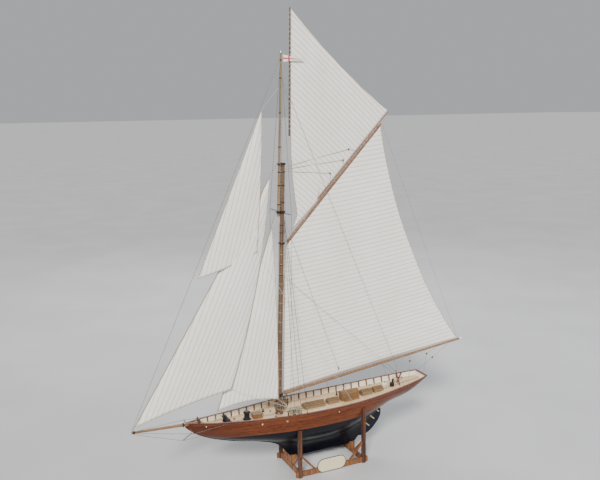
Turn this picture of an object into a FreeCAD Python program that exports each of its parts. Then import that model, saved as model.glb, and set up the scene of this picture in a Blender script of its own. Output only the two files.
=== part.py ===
import FreeCAD, Part
import math
import os

# Model sailing ship: a gaff-rigged racing cutter on a wooden cradle, in millimetres.
# +Z is up, the bow points to -X and port is -Y. The model is drawn from the centre
# of the cradle's footprint and then moved along X, so that the origin is on the
# surface it stands on, under the middle of the overall length.
ORIGIN_SHIFT_X = 22.0

# ---- driving dimensions: cradle ----
POST_SPACING_X = 160.0
POST_SPACING_Y = 104.0
POST_LENGTH_X = 8.0
POST_WIDTH_Y = 7.0
FRONT_POST_HEIGHT = 110.0
AFT_POST_HEIGHT = 132.0
POST_CLEARANCE = 0.35
SIDE_RAIL_BOTTOM = 2.0
SIDE_RAIL_HEIGHT = 12.0
SIDE_RAIL_THICKNESS = 3.6
SIDE_RAIL_OVERHANG = 6.0
CROSS_RAIL_HEIGHT = 12.0
CROSS_RAIL_THICKNESS = 5.0
BRACE_THICKNESS = 4.0
BRACE_DEPTH = 5.0
BRACE_RUN = 39.0
SIDE_BRACE_RUN = 34.0
SIDE_BRACE_TOP = 52.0
KEEL_BLOCK_HALF_WIDTH = 9.0
KEEL_BLOCK_LENGTH = 13.0
PLATE_LENGTH = 72.0
PLATE_HEIGHT = 32.0
PLATE_THICKNESS = 1.2

# ---- driving dimensions: hull ----
KEEL_BOTTOM = 28.5
WATERLINE = 111.0
SHELL_THICKNESS = 2.2
BULWARK_HEIGHT = 12.0
DECK_THICKNESS = 1.5
DECK_CAMBER = 1.6
RAIL_WIDTH = 3.6
RAIL_THICKNESS = 1.3
STANCHION_PITCH = 19.5
FITTING_GAP = 0.02
BULKHEAD_THICKNESS = 2.5
BACKBONE_THICKNESS = 3.0

# Hull offsets, one row per section from the stem to beyond the transom:
# x, keel height, top of deadwood, keel half-thickness, bilge half-breadth,
# bilge height, rail half-breadth, rail height.
OFFSETS = [
    (-320.0, 145.5, 146.5, 1.4, 1.6, 149.0, 2.0, 153.6),
    (-299.0, 128.0, 130.0, 1.8, 4.6, 137.0, 9.0, 153.2),
    (-270.0, 112.5, 114.5, 2.0, 10.0, 122.0, 19.0, 151.2),
    (-240.0, 101.5, 103.5, 2.1, 16.5, 113.0, 26.0, 149.6),
    (-207.0, 92.0, 94.0, 2.3, 23.5, 106.0, 32.6, 148.3),
    (-172.0, 84.5, 86.0, 2.6, 31.0, 100.0, 39.4, 147.4),
    (-140.0, 76.0, 79.0, 3.0, 37.5, 96.0, 45.5, 147.0),
    (-117.0, 67.0, 72.0, 3.3, 42.0, 93.0, 49.6, 147.0),
    (-101.0, 55.0, 67.0, 3.6, 44.4, 91.5, 51.9, 147.0),
    (-88.0, 38.5, 64.0, 3.9, 46.0, 90.5, 53.6, 147.0),
    (-72.0, 28.5, 61.0, 4.1, 47.6, 89.8, 55.2, 147.0),
    (-28.0, 28.0, 58.0, 4.2, 50.0, 89.0, 57.2, 147.0),
    (8.0, 28.0, 58.0, 4.2, 50.0, 89.5, 57.5, 147.2),
    (44.0, 28.0, 62.0, 4.0, 47.0, 92.0, 57.0, 147.8),
    (78.0, 28.0, 70.0, 3.6, 41.0, 97.0, 55.2, 149.0),
    (108.0, 28.0, 82.0, 3.2, 33.5, 103.0, 52.5, 150.6),
    (136.0, 28.0, 96.0, 3.0, 25.0, 109.0, 49.4, 152.5),
    (162.0, 60.0, 107.0, 2.6, 17.0, 114.5, 45.9, 154.4),
    (186.0, 113.5, 114.5, 2.0, 14.0, 119.5, 42.4, 156.4),
    (212.0, 119.8, 120.8, 1.8, 13.5, 125.0, 38.0, 158.6),
    (240.0, 131.2, 132.2, 1.6, 12.5, 136.0, 32.0, 161.2),
    (262.0, 145.0, 146.0, 1.5, 10.5, 149.0, 26.0, 163.6),
    (276.0, 155.5, 156.2, 1.4, 9.0, 158.5, 21.5, 165.4),
]
STEM_TIP_X = -320.0
TRANSOM_BOTTOM = (261.0, 144.0)
TRANSOM_TOP = (272.6, 166.5)
TRANSOM_THICKNESS = 2.5
HEEL = (92.0, 40.0)
STERNPOST_RAKE = 41.5
STERNPOST_TOP_Z = 105.5

# ---- driving dimensions: rudder and steering ----
RUDDER_STOCK_RADIUS = 1.6
RUDDER_THICKNESS = 4.4
RUDDER_EDGE_HALF = 0.9
STRAP_WIDTH = 2.6
STRAP_HEIGHTS = (66.0, 81.0, 96.0)
STRAP_THICKNESS = 0.6
RUDDER_GAP = 0.5
STOCK_TOP_Z = 147.5
WHEEL_RADIUS = 6.5
PEDESTAL_X = 188.0
WHEEL_HEIGHT = 15.5

# ---- driving dimensions: spars ----
MAST_RAKE = 2.0
MAST_X = -105.5
MAST_DECK_Z = 136.0
MAST_RADIUS = 6.0
MAST_HEAD_RADIUS = 4.4
MAST_CAP_Z = 688.0
HOUNDS_Z = 584.0
TOPMAST_OFFSET = 8.2
TOPMAST_RADIUS = 3.4
TOPMAST_HEAD_RADIUS = 1.9
TOPMAST_HEAD_Z = 911.0
SPREADER_REACH = 55.0
BOWSPRIT_TIP = (-432.0, 157.0)
BOWSPRIT_HEEL = (-286.0, 150.6)
BOWSPRIT_RADIUS = 3.5
BOWSPRIT_TIP_RADIUS = 2.3
BOOM_JAW = (-92.0, 180.5)
BOOM_END = (388.0, 235.5)
BOOM_RADIUS = 4.0
BOOM_TIP_RADIUS = 2.3
GAFF_JAW = (-81.0, 517.0)
GAFF_END = (152.0, 762.5)
GAFF_RADIUS = 3.0
GAFF_TIP_RADIUS = 2.0
TOPSAIL_YARD_FOOT = (-70.5, 742.0)
TOPSAIL_YARD_HEAD = (-65.0, 1000.0)
TOPSAIL_YARD_RADIUS = 1.8
JACKYARD_LOW = (-5.0, 605.5)
JACKYARD_HIGH = (171.5, 789.5)
JACKYARD_RADIUS = 1.5
JAW_GAP = 0.6
JAW_WIDTH = 2.4
JAW_THICKNESS = 3.0

# ---- driving dimensions: deck fittings ----
WINDLASS_X = -228.0
WINDLASS_AXIS = 6.4
WINDLASS_CHEEK_Y = 10.5
WINDLASS_AXLE_RADIUS = 1.6
CAPSTAN_SPINDLE_RADIUS = 1.9
CAPSTAN_X = -182.0
RACK_X0 = -99.0
RACK_X1 = -69.0
RACK_Y = -31.0
RACK_HEIGHT = 14.0
RACK_THICKNESS = 1.8
PINS_PER_RACK = 6
HOUSE_X = (49.0, 92.0)
HOUSE_HALF = 9.0
HOUSE_WALL = 16.0
HOUSE_CROWN = 5.0
BENCH_WIDTH = 6.2
HATCH_X = (-169.0, -147.0)
HATCH_HALF = 9.0
HATCH_HEIGHT = 9.0
BITTS_X = -291.0
CRUTCH_X = 206.0
CRUTCH_HEIGHT = 31.0
BOLLARDS = ((-208.0, -9.0), (-120.0, -16.0))
CLEATS = ((64.0, -46.0), (150.0, -38.0), (232.0, -25.0))

COMPASS_PROFILE = [(5.6, -2.5), (5.6, 2.0), (4.4, 3.4), (3.0, 4.6)]

# Skylights: aft and forward end, half-width, wall height, ridge height.
SKYLIGHTS = (
    (-46.0, 5.0, 11.0, 6.0, 12.0),
    (14.0, 42.0, 9.0, 5.5, 11.0),
    (103.0, 130.0, 9.0, 7.0, 12.5),
    (135.0, 160.0, 8.5, 6.0, 11.5),
)

WHISKER_X = -312.0
WHISKER_Z = 146.0
WHISKER_REACH = 37.0
STRIKER_TIP = FreeCAD.Vector(-326.0, 0.0, 118.0)
STRIKER_ROOT = FreeCAD.Vector(-305.5, 0.0, 131.0)
BOBSTAY_PLATE = FreeCAD.Vector(-288.0, 0.0, 119.0)
BOWSPRIT_SHROUD_X = -240.0

# ---- driving dimensions: sails and rigging ----
SAIL_THICKNESS = 1.0
LINE_RADIUS = 0.35
STAY_RADIUS = 0.45
MAST_LINE_GAP = 1.2
SHROUD_X = (-90.0, -76.0, -62.0)
TOPMAST_SHROUD_X = -100.0
TOPMAST_STAY_Z = 897.0
TOPMAST_BACKSTAY_Z = 860.0
TOPMAST_BACKSTAY_X = 197.0
JIB_STAY = ((-430.1, 160.3), (-101.0, 684.0))
STAYSAIL_STAY = ((-256.6, 142.6), (-103.6, 590.0))
JIB_TOPSAIL_STAY_START = (-431.5, 160.6)
RUNNER_X = 46.0
RUNNER_BLOCK_HEIGHT = 90.0
LOWER_BACKSTAY_Z = 447.0
LOWER_BACKSTAY_X = 214.0

# Sail corners as (x, z), and how far the edge that starts at each corner stands out.
# Each headsail is set to port of its stay, turned about its luff by its swing.
JIB = ((-117.5, 655.0), (-218.5, 215.0), (-423.5, 168.0))
JIB_BULGES = (14.0, -6.0, 0.0)
JIB_SWING = 3.5
STAYSAIL = ((-114.5, 552.0), (-111.0, 173.0), (-246.0, 169.0))
STAYSAIL_BULGES = (4.0, -10.0, 0.0)
STAYSAIL_SWING = 5.0
JIB_TOPSAIL = ((-132.0, 795.0), (-153.0, 505.0), (-279.0, 461.0))
JIB_TOPSAIL_BULGES = (3.0, 3.0, 0.0)
JIB_TOPSAIL_SWING = 6.0
MAINSAIL = ((-84.0, 508.4), (151.0, 757.3), (374.0, 237.2), (-94.0, 185.3))
MAINSAIL_BULGES = (0.0, -33.0, -4.0, 0.0)
TOPSAIL = (
    (-62.5, 997.0),
    (169.0, 791.0),
    (-6.5, 608.0),
    (-8.0, 600.5),
    (-68.0, 545.0),
    (-54.0, 574.0),
    (-67.0, 742.0),
)
TOPSAIL_BULGES = (-8.0, 0.0, 0.0, 0.0, 0.0, 5.0, 0.0)
BURGEE = ((-82.0, 907.0), (-37.0, 897.0), (-82.0, 892.0))
BURGEE_SWING = 16.0

# Peak spans: place along the gaff, and the block at the span's point.
PEAK_SPANS = ((0.75, (69.0, 710.0)), (0.6, (55.0, 687.0)), (0.46, (23.0, 660.0)))
PEAK_SIDE = 4.0

# Mainsheet parts: place along the boom, the block below it, and the fastening aft.
MAINSHEETS = (
    (0.688, (238.0, 200.0), (236.0, 0.0, 152.6)),
    (0.85, (286.0, 211.0), (268.5, -14.0, 167.2)),
    (0.92, (303.0, 199.0), (268.5, 14.0, 167.2)),
)



def vec(x, y, z):
    return FreeCAD.Vector(x, y, z)


def at(point):
    """A point on the centreplane from its (x, z)."""
    return vec(point[0], 0, point[1])


def box(x0, x1, y0, y1, z0, z1):
    return Part.makeBox(x1 - x0, y1 - y0, z1 - z0, vec(x0, y0, z0))


def rod(start, end, radius, end_radius=None):
    """A round bar, straight or tapered, between two points."""
    direction = end - start
    if end_radius is None or abs(end_radius - radius) < 1e-6:
        return Part.makeCylinder(radius, direction.Length, start, direction)
    return Part.makeCone(radius, end_radius, direction.Length, start, direction)


def prism(outline, y0, y1):
    """A plate parallel to the centreplane from an outline of (x, z) points."""
    points = [vec(x, y0, z) for x, z in outline]
    face = Part.Face(Part.makePolygon(points + points[:1]))
    return face.extrude(vec(0, y1 - y0, 0))


def turned(profile, x, y, z):
    """A turned fitting on a vertical axis from (radius, height) points."""
    points = [vec(x + r, y, z + h) for r, h in profile]
    points = [vec(x, y, z + profile[0][1])] + points + [vec(x, y, z + profile[-1][1])]
    face = Part.Face(Part.makePolygon(points + points[:1]))
    return face.revolve(vec(x, y, z), vec(0, 0, 1), 360)


def fuse(shapes):
    result = shapes[0]
    if len(shapes) > 1:
        result = result.fuse(shapes[1:])
    return result.removeSplitter()


def group(shapes):
    return Part.makeCompound(shapes)


def mirror_y(shape):
    return shape.mirror(vec(0, 0, 0), vec(0, 1, 0))


def both_sides(shape):
    return [shape, mirror_y(shape)]


def lerp(a, b, t):
    return a + (b - a) * t


def offset_at(x, column):
    """One column of the hull offsets at any x, between the sections."""
    for low, high in zip(OFFSETS, OFFSETS[1:]):
        if x <= high[0]:
            return lerp(low[column], high[column], (x - low[0]) / (high[0] - low[0]))
    return OFFSETS[-1][column]


def rail_breadth(x):
    return offset_at(x, 6)


def rail_height(x):
    return offset_at(x, 7)


def deck_height(x, y=0.0):
    """Top of the cambered deck."""
    crown = DECK_CAMBER * (1.0 - (y / max(rail_breadth(x), 8.0)) ** 2)
    return rail_height(x) - bulwark(x) + crown - DECK_CAMBER * 0.5


def bulwark(x):
    """The bulwark is lower towards the stem and the transom."""
    if x < -200.0:
        return lerp(BULWARK_HEIGHT, BULWARK_HEIGHT - 4.5, (-200.0 - x) / 100.0)
    if x > 150.0:
        return lerp(BULWARK_HEIGHT, BULWARK_HEIGHT - 3.0, (x - 150.0) / 120.0)
    return BULWARK_HEIGHT


# ---------------------------------------------------------------- hull forms

def section_side(row, inset, floor_raise, top_raise, side):
    """One side of a hull section, a cubic curve from the keel to the rail."""
    x, keel, deadwood, keel_half, bilge, bilge_z, rail, rail_z = row
    if floor_raise > 0.0:
        keel = deadwood + floor_raise
        deadwood = keel + 0.5
    keel_half = max(keel_half - inset, 0.4)
    bilge = max(bilge - inset, 0.6)
    rail = max(rail - inset, 0.9)
    poles = [
        (keel_half, keel),
        (keel_half, lerp(keel, deadwood, 0.9)),
        (lerp(keel_half, bilge, 0.42), lerp(deadwood, bilge_z, 0.28)),
        (bilge, bilge_z),
        (lerp(bilge, rail, 0.88), lerp(bilge_z, rail_z, 0.5)),
        (rail, rail_z),
    ]
    curve = Part.BSplineCurve()
    curve.buildFromPoles([vec(x, side * b, z) for b, z in poles], False, 3)
    edges = [curve.toShape()]
    if top_raise > 0.0:
        edges.append(Part.makeLine(vec(x, side * rail, rail_z), vec(x, side * rail, rail_z + top_raise)))
    return edges


def hull_form(inset=0.0, floor_raise=0.0, top_raise=0.0, first=0, last=None):
    """A closed hull body, inset from the outer skin and raised off the keel."""
    wires = []
    for row in OFFSETS[first:last]:
        port = section_side(row, inset, floor_raise, top_raise, -1.0)
        starboard = section_side(row, inset, floor_raise, top_raise, 1.0)
        top = Part.makeLine(port[-1].Vertexes[-1].Point, starboard[-1].Vertexes[-1].Point)
        floor = Part.makeLine(starboard[0].Vertexes[0].Point, port[0].Vertexes[0].Point)
        wires.append(Part.Wire(port + [top] + starboard[::-1] + [floor]))
    return Part.makeLoft(wires, True, False)


def under_counter():
    """The space behind the sternpost and under the counter, cut out of the hull."""
    rake = math.radians(STERNPOST_RAKE)
    top_x = HEEL[0] + (STERNPOST_TOP_Z - HEEL[1]) * math.tan(rake)
    low_x = HEEL[0] - (HEEL[1] - 10.0) * math.tan(rake)
    counter = [(162.0, 108.0), (186.0, 114.2), (212.0, 120.2), (240.0, 131.4), (330.0, 131.4)]
    outline = [(low_x, 10.0), (top_x, STERNPOST_TOP_Z)] + counter + [(330.0, 10.0)]
    return prism(outline, -40.0, 40.0)


def behind_transom(shift):
    """The space behind the raked transom, moved forward by shift."""
    slope = (TRANSOM_TOP[0] - TRANSOM_BOTTOM[0]) / (TRANSOM_TOP[1] - TRANSOM_BOTTOM[1])
    low = TRANSOM_BOTTOM[0] - shift - slope * 60.0
    high = TRANSOM_TOP[0] - shift + slope * 60.0
    outline = [(low, TRANSOM_BOTTOM[1] - 60.0), (high, TRANSOM_TOP[1] + 60.0), (420.0, 260.0), (420.0, 60.0)]
    return prism(outline, -90.0, 90.0)


def below_keel():
    return box(-400, 400, -90, 90, 0, KEEL_BOTTOM)


def sheer_slab(depth, height, width_beyond_rail, camber=0.0, drop_bulwark=False):
    """A strip that follows the sheer, from depth below it to height above it."""
    wires = []
    for row in OFFSETS:
        x = row[0]
        half = max(row[6], 4.0) + width_beyond_rail
        middle = row[7] - (bulwark(x) - 0.5 * DECK_CAMBER if drop_bulwark else 0.0)
        edge = middle - camber * (half / (half - width_beyond_rail)) ** 2
        corners = [vec(x, -half, edge + height), vec(x, half, edge + height)]
        corners += [vec(x, half, edge - depth), vec(x, -half, edge - depth)]
        if camber > 0.0:
            top = Part.Arc(corners[0], vec(x, 0, middle + height), corners[1]).toShape()
            floor = Part.Arc(corners[2], vec(x, 0, middle - depth), corners[3]).toShape()
        else:
            top = Part.makeLine(corners[0], corners[1])
            floor = Part.makeLine(corners[2], corners[3])
        right = Part.makeLine(corners[1], corners[2])
        left = Part.makeLine(corners[3], corners[0])
        wires.append(Part.Wire([top, right, floor, left]))
    return Part.makeLoft(wires, True, False)



# ---------------------------------------------------------------- cradle

def posts(x, height, hull_space):
    """A pair of uprights whose tops are shaped to the hull."""
    half = 0.5 * POST_LENGTH_X
    y = 0.5 * POST_SPACING_Y
    port = box(x - half, x + half, -y - 0.5 * POST_WIDTH_Y, -y + 0.5 * POST_WIDTH_Y, 0.0, height)
    mortise = side_rail_bar(-y)
    port = port.cut(hull_space).cut(mortise)
    return group(both_sides(port))


def side_rail_bar(y):
    reach = 0.5 * (POST_SPACING_X + POST_LENGTH_X) + SIDE_RAIL_OVERHANG
    half = 0.5 * SIDE_RAIL_THICKNESS
    top = SIDE_RAIL_BOTTOM + SIDE_RAIL_HEIGHT
    return box(-reach, reach, y - half, y + half, SIDE_RAIL_BOTTOM, top)


def cross_rail(x):
    """The rail between two uprights, with the notched block that carries the keel."""
    reach = 0.5 * (POST_SPACING_Y - POST_WIDTH_Y)
    half = 0.5 * CROSS_RAIL_THICKNESS
    return box(x - half, x + half, -reach, reach, SIDE_RAIL_BOTTOM, SIDE_RAIL_BOTTOM + CROSS_RAIL_HEIGHT)


def keel_block(x):
    half = 0.5 * KEEL_BLOCK_LENGTH
    wide = KEEL_BLOCK_HALF_WIDTH
    low = SIDE_RAIL_BOTTOM + CROSS_RAIL_HEIGHT
    cheek_top = KEEL_BOTTOM + 4.0
    slot_half = 4.8
    body = box(x - half, x + half, -wide, wide, low, cheek_top)
    return body.cut(box(x - half - 1, x + half + 1, -slot_half, slot_half, KEEL_BOTTOM, cheek_top + 1))


def keel_brace(x):
    """A knee from the upright's inner face down to the cross rail, beside the keel block."""
    half = 0.5 * BRACE_THICKNESS
    foot = SIDE_RAIL_BOTTOM + CROSS_RAIL_HEIGHT
    face = 0.5 * (POST_SPACING_Y - POST_WIDTH_Y)
    depth = BRACE_DEPTH * math.sqrt(2.0)
    top = foot + BRACE_RUN
    outline = [(face, top), (face, top - depth), (face - BRACE_RUN + depth, foot), (face - BRACE_RUN, foot)]
    points = [vec(x - half, -y, z) for y, z in outline]
    return Part.Face(Part.makePolygon(points + points[:1])).extrude(vec(2 * half, 0, 0))


def side_brace(end):
    """A knee from an upright down to the side rail, towards amidships."""
    y = -0.5 * POST_SPACING_Y
    half = 0.5 * SIDE_RAIL_THICKNESS
    foot = SIDE_RAIL_BOTTOM + SIDE_RAIL_HEIGHT
    face = 0.5 * (POST_SPACING_X - POST_LENGTH_X)
    depth = BRACE_DEPTH * 1.3
    inner = face - SIDE_BRACE_RUN
    heel = inner + depth * 0.8
    outline = [(face, SIDE_BRACE_TOP), (face, SIDE_BRACE_TOP - depth), (heel, foot), (inner, foot)]
    return prism([(end * x, z) for x, z in outline], y - half, y + half)


def cradle_bolts():
    """Bolt heads on the ends of the cross rails and on the knees."""
    heads = []
    outer = -0.5 * (POST_SPACING_Y + POST_WIDTH_Y)
    for end in (-1.0, 1.0):
        x = end * 0.5 * POST_SPACING_X
        heads.append(rod(vec(x, outer, 46.0), vec(x, outer - 1.2, 46.0), 1.6))
        face = x + end * 0.5 * POST_LENGTH_X
        y = -0.5 * POST_SPACING_Y
        heads.append(rod(vec(face, y, 22.0), vec(face + end * 1.2, y, 22.0), 1.6))
    return group([part for head in heads for part in both_sides(head)])


def stadium(length, height, thickness, centre_x, front_y, centre_z):
    """An upright plate with round ends, its front face at front_y."""
    radius = 0.5 * height
    half = 0.5 * length - radius
    back_y = front_y + thickness
    parts = [box(centre_x - half, centre_x + half, front_y, back_y, centre_z - radius, centre_z + radius)]
    for x in (centre_x - half, centre_x + half):
        parts.append(rod(vec(x, front_y, centre_z), vec(x, back_y, centre_z), radius))
    return fuse(parts)


def build_cradle(hull_space):
    front = -0.5 * POST_SPACING_X
    aft = 0.5 * POST_SPACING_X
    rail_face = -0.5 * (POST_SPACING_Y + SIDE_RAIL_THICKNESS)
    plate_y = rail_face - PLATE_THICKNESS
    plate_z = 0.5 * PLATE_HEIGHT + 1.0
    border = 1.6
    length = PLATE_LENGTH - 2 * border
    plate = stadium(length, PLATE_HEIGHT - 2 * border, PLATE_THICKNESS, -3.0, plate_y, plate_z)
    backing = stadium(PLATE_LENGTH, PLATE_HEIGHT, PLATE_THICKNESS - 0.3, -3.0, plate_y + 0.3, plate_z)
    rails = [side_rail_bar(s * 0.5 * POST_SPACING_Y) for s in (-1.0, 1.0)]
    braces = [part for x in (front, aft) for part in both_sides(keel_brace(x))]
    side_braces = [part for end in (-1.0, 1.0) for part in both_sides(side_brace(end))]
    uprights = posts(front, FRONT_POST_HEIGHT, hull_space).Solids
    uprights += posts(aft, AFT_POST_HEIGHT, hull_space).Solids
    return {
        "stand_posts": group(uprights),
        "stand_rails": group(rails + [cross_rail(front), cross_rail(aft)]),
        "stand_keel_blocks": group([keel_block(front + 5.0), keel_block(aft - 5.0)]),
        "stand_braces": group(braces + side_braces),
        "stand_bolts": cradle_bolts(),
        "name_plate": plate,
        "name_plate_border": backing.cut(plate),
    }


# ---------------------------------------------------------------- spar lines

def mast_axis(z, aft=0.0, side=0.0):
    """A point on the raked lower mast's axis, or beside it."""
    return vec(MAST_X + (z - MAST_DECK_Z) * math.tan(math.radians(MAST_RAKE)) + aft, side, z)


def mast_radius(z):
    return lerp(MAST_RADIUS, MAST_HEAD_RADIUS, (z - MAST_DECK_Z) / (MAST_CAP_Z - MAST_DECK_Z))


def topmast_axis(z, aft=0.0, side=0.0):
    return mast_axis(z, aft - TOPMAST_OFFSET, side)


def topmast_radius(z):
    return lerp(TOPMAST_RADIUS, TOPMAST_HEAD_RADIUS, (z - HOUNDS_Z) / (TOPMAST_HEAD_Z - HOUNDS_Z))


def bowsprit_axis(x):
    t = (x - BOWSPRIT_HEEL[0]) / (BOWSPRIT_TIP[0] - BOWSPRIT_HEEL[0])
    return vec(x, 0, lerp(BOWSPRIT_HEEL[1], BOWSPRIT_TIP[1], t))


def spar(low, high, t):
    """A point along a spar that is given by its (x, z) ends."""
    return vec(lerp(low[0], high[0], t), 0, lerp(low[1], high[1], t))


def collar(centre, direction, inner, outer, length):
    """A ring round a spar."""
    half = direction.normalize() * (0.5 * length)
    ring = rod(centre - half, centre + half, outer)
    return ring.cut(rod(centre - half * 1.2, centre + half * 1.2, inner))


def mast_direction():
    return mast_axis(200.0) - mast_axis(100.0)


# ---------------------------------------------------------------- hull pieces

def build_hull(hull, inner, slab, spaces):
    """Planked shell, deck, frames, rail and stanchions."""
    shell = hull.cut(inner).cut(group(spaces))
    above = box(-400, 400, -90, 90, WATERLINE, 260)
    below = box(-400, 400, -90, 90, 0, WATERLINE)
    deck = inner.common(slab)
    mast_hole = rod(mast_axis(95.0), mast_axis(160.0), MAST_RADIUS + 0.3)
    stock_hole = rod(stock_point(95.0), stock_point(170.0), RUDDER_STOCK_RADIUS + 0.08)
    deck = deck.cut(mast_hole).cut(stock_hole)
    under_deck = inner.cut(sheer_slab(DECK_THICKNESS, 60.0, 4.0, DECK_CAMBER, True))
    half = 0.5 * BACKBONE_THICKNESS
    plate = under_deck.common(box(-286.0, 235.0, -half, half, 0, 200))
    plate = plate.cut(mast_hole).cut(rod(stock_point(95.0), stock_point(170.0), RUDDER_STOCK_RADIUS + 0.6))
    frames = []
    for x in (-250.0, -205.0, -160.0, -128.0, -70.0, -10.0, 50.0, 100.0, 145.0, 200.0):
        slice_box = box(x, x + BULKHEAD_THICKNESS, -80, 80, 0, 200)
        frames.append(under_deck.common(slice_box).cut(plate).cut(box(x - 1, x + 4, -half, half, 0, 200)))
    return shell.common(above), shell.common(below), deck, plate, group([s for f in frames for s in f.Solids])


def rail_cap():
    """The cap on the bulwark: a strip along each side and one across the transom."""
    wires = []
    for row in OFFSETS:
        inner_y = row[6] + 0.7 - RAIL_WIDTH
        outer_y = row[6] + 0.7
        top = row[7] + RAIL_THICKNESS
        corners = [vec(row[0], inner_y, row[7]), vec(row[0], outer_y, row[7])]
        corners += [vec(row[0], outer_y, top), vec(row[0], inner_y, top)]
        wires.append(Part.makePolygon(corners + corners[:1]))
    side = Part.makeLoft(wires, True, False)
    across = sheer_slab(0.0, RAIL_THICKNESS, 0.4)
    across = across.common(behind_transom(RAIL_WIDTH - 0.4))
    return fuse(both_sides(side) + [across]).cut(behind_transom(-0.7))


def stanchions(inner, slab_block):
    """Timber heads up the inside of the bulwark, from the deck to the rail."""
    posts_made = []
    count = int((235.0 + 285.0) / STANCHION_PITCH)
    below_rail = sheer_slab(60.0, 0.0, 8.0)
    ring = inner.common(below_rail).cut(hull_form(SHELL_THICKNESS + 1.0, 2.0, 8.0, 1, None)).cut(slab_block)
    for i in range(count + 1):
        x = -285.0 + i * STANCHION_PITCH
        posts_made += ring.common(box(x - 1.5, x + 1.5, -80, 80, 120, 200)).Solids
    return group(posts_made)


# ---------------------------------------------------------------- rudder

def stock_point(z):
    """A point on the rudder stock, just aft of the sternpost and parallel to it."""
    rake = math.radians(STERNPOST_RAKE)
    clear = (RUDDER_STOCK_RADIUS + RUDDER_GAP) / math.cos(rake)
    return vec(HEEL[0] + (z - HEEL[1]) * math.tan(rake) + clear, 0, z)


def stock_direction():
    return (stock_point(140.0) - stock_point(40.0)).normalize()


def strap(z, forward, aft, inner, outer):
    """A pair of plates across the stock line at height z, one each side."""
    centre = stock_point(z)
    up = stock_direction()
    back = vec(up.z, 0, -up.x)
    plates = []
    for side in (-1.0, 1.0):
        start = centre - back * forward - up * (0.5 * STRAP_WIDTH)
        corners = [start, start + back * (forward + aft)]
        corners += [corners[1] + up * STRAP_WIDTH, start + up * STRAP_WIDTH]
        face = Part.Face(Part.makePolygon(corners + corners[:1]))
        low, high = (inner, outer) if side > 0 else (-outer, -inner)
        face.translate(vec(0, low, 0))
        plates.append(face.extrude(vec(0, high - low, 0)))
    return plates


def build_rudder():
    """A blade that thins towards its edge, on its stock."""
    half = 0.5 * RUDDER_THICKNESS
    low = stock_point(41.5)
    high = stock_point(103.0)
    edge = Part.BSplineCurve()
    middle = [vec(low.x + 14.0, -half, low.z - 0.5), vec(146.0, -half, 66.0), vec(155.5, -half, 84.0)]
    ends = [vec(154.5, -half, 98.0), vec(high.x, -half, high.z)]
    edge.interpolate([vec(low.x, -half, low.z)] + middle + ends)
    outline = Part.Wire([edge.toShape(), Part.makeLine(vec(high.x, -half, high.z), vec(low.x, -half, low.z))])
    blade = Part.Face(outline).extrude(vec(0, 2 * half, 0))
    up = stock_direction()
    back = vec(up.z, 0, -up.x)
    root = low - up * 20.0 - back * 4.0
    tip = root + back * 64.0
    corners = [root + vec(0, -half, 0), root + vec(0, half, 0)]
    corners += [tip + vec(0, RUDDER_EDGE_HALF, 0), tip + vec(0, -RUDDER_EDGE_HALF, 0)]
    wedge = Part.Face(Part.makePolygon(corners + corners[:1])).extrude(up * 140.0)
    stock = rod(stock_point(41.5), stock_point(STOCK_TOP_Z), RUDDER_STOCK_RADIUS)
    return fuse([blade.common(wedge), stock])


def build_straps(hull):
    """Brass straps on the rudder blade, and in line with them on the sternpost."""
    blade_face = 0.5 * RUDDER_THICKNESS + 0.02
    around_post = hull_form(-STRAP_THICKNESS).cut(hull)
    on_blade = []
    on_post = []
    for z in STRAP_HEIGHTS:
        on_blade += strap(z, 0.5, 9.0, blade_face, blade_face + STRAP_THICKNESS)
        for block in strap(z, 12.0, -3.4, 1.0, 20.0):
            on_post += around_post.common(block).Solids
    return group(on_blade), group(on_post)


# ---------------------------------------------------------------- deck fittings

def on_deck(x, y=0.0):
    """Height where a fitting starts, a little inside the deck, so that it is trimmed flush."""
    return deck_height(x, y) - 2.5


def deck_box(x0, x1, y0, y1, height):
    top = max(deck_height(x0), deck_height(x1)) + height
    return box(x0, x1, y0, y1, on_deck(x0), top)


def gabled_skylight(x0, x1, half, wall, ridge):
    """A coaming with a gabled, barred top."""
    x_mid = 0.5 * (x0 + x1)
    base = deck_height(x_mid)
    low = on_deck(x0)
    outline = [(-half, low), (-half, base + wall), (0.0, base + ridge), (half, base + wall), (half, low)]
    points = [vec(x0, y, z) for y, z in outline]
    body = Part.Face(Part.makePolygon(points + points[:1])).extrude(vec(x1 - x0, 0, 0))
    bars = []
    count = int((x1 - x0) / 4.0)
    for i in range(1, count):
        x = x0 + i * (x1 - x0) / count
        low = vec(x, half + 0.1, base + wall + 0.1)
        high = vec(x, 0.0, base + ridge + 0.1)
        bars += both_sides(rod(low, high, 0.45))
    ridge_bar = rod(vec(x0 - 0.4, 0, base + ridge + 0.1), vec(x1 + 0.4, 0, base + ridge + 0.1), 0.7)
    return fuse([body, ridge_bar] + bars)


def deckhouse(x0, x1, half, wall, crown):
    """A low house with a rounded roof that overhangs its walls."""
    base = deck_height(0.5 * (x0 + x1))
    walls = box(x0, x1, -half, half, on_deck(x0), base + wall)
    eave = half + 1.2
    left = vec(x0 - 1.2, -eave, base + wall)
    right = vec(x0 - 1.2, eave, base + wall)
    arc = Part.Arc(left, vec(x0 - 1.2, 0, base + wall + crown), right).toShape()
    lip = [vec(x0 - 1.2, eave, base + wall - 0.8), vec(x0 - 1.2, -eave, base + wall - 0.8)]
    edges = [arc, Part.makeLine(right, lip[0]), Part.makeLine(lip[0], lip[1]), Part.makeLine(lip[1], left)]
    roof = Part.Face(Part.Wire(edges)).extrude(vec(x1 - x0 + 2.4, 0, 0))
    return fuse([walls, roof])


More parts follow.
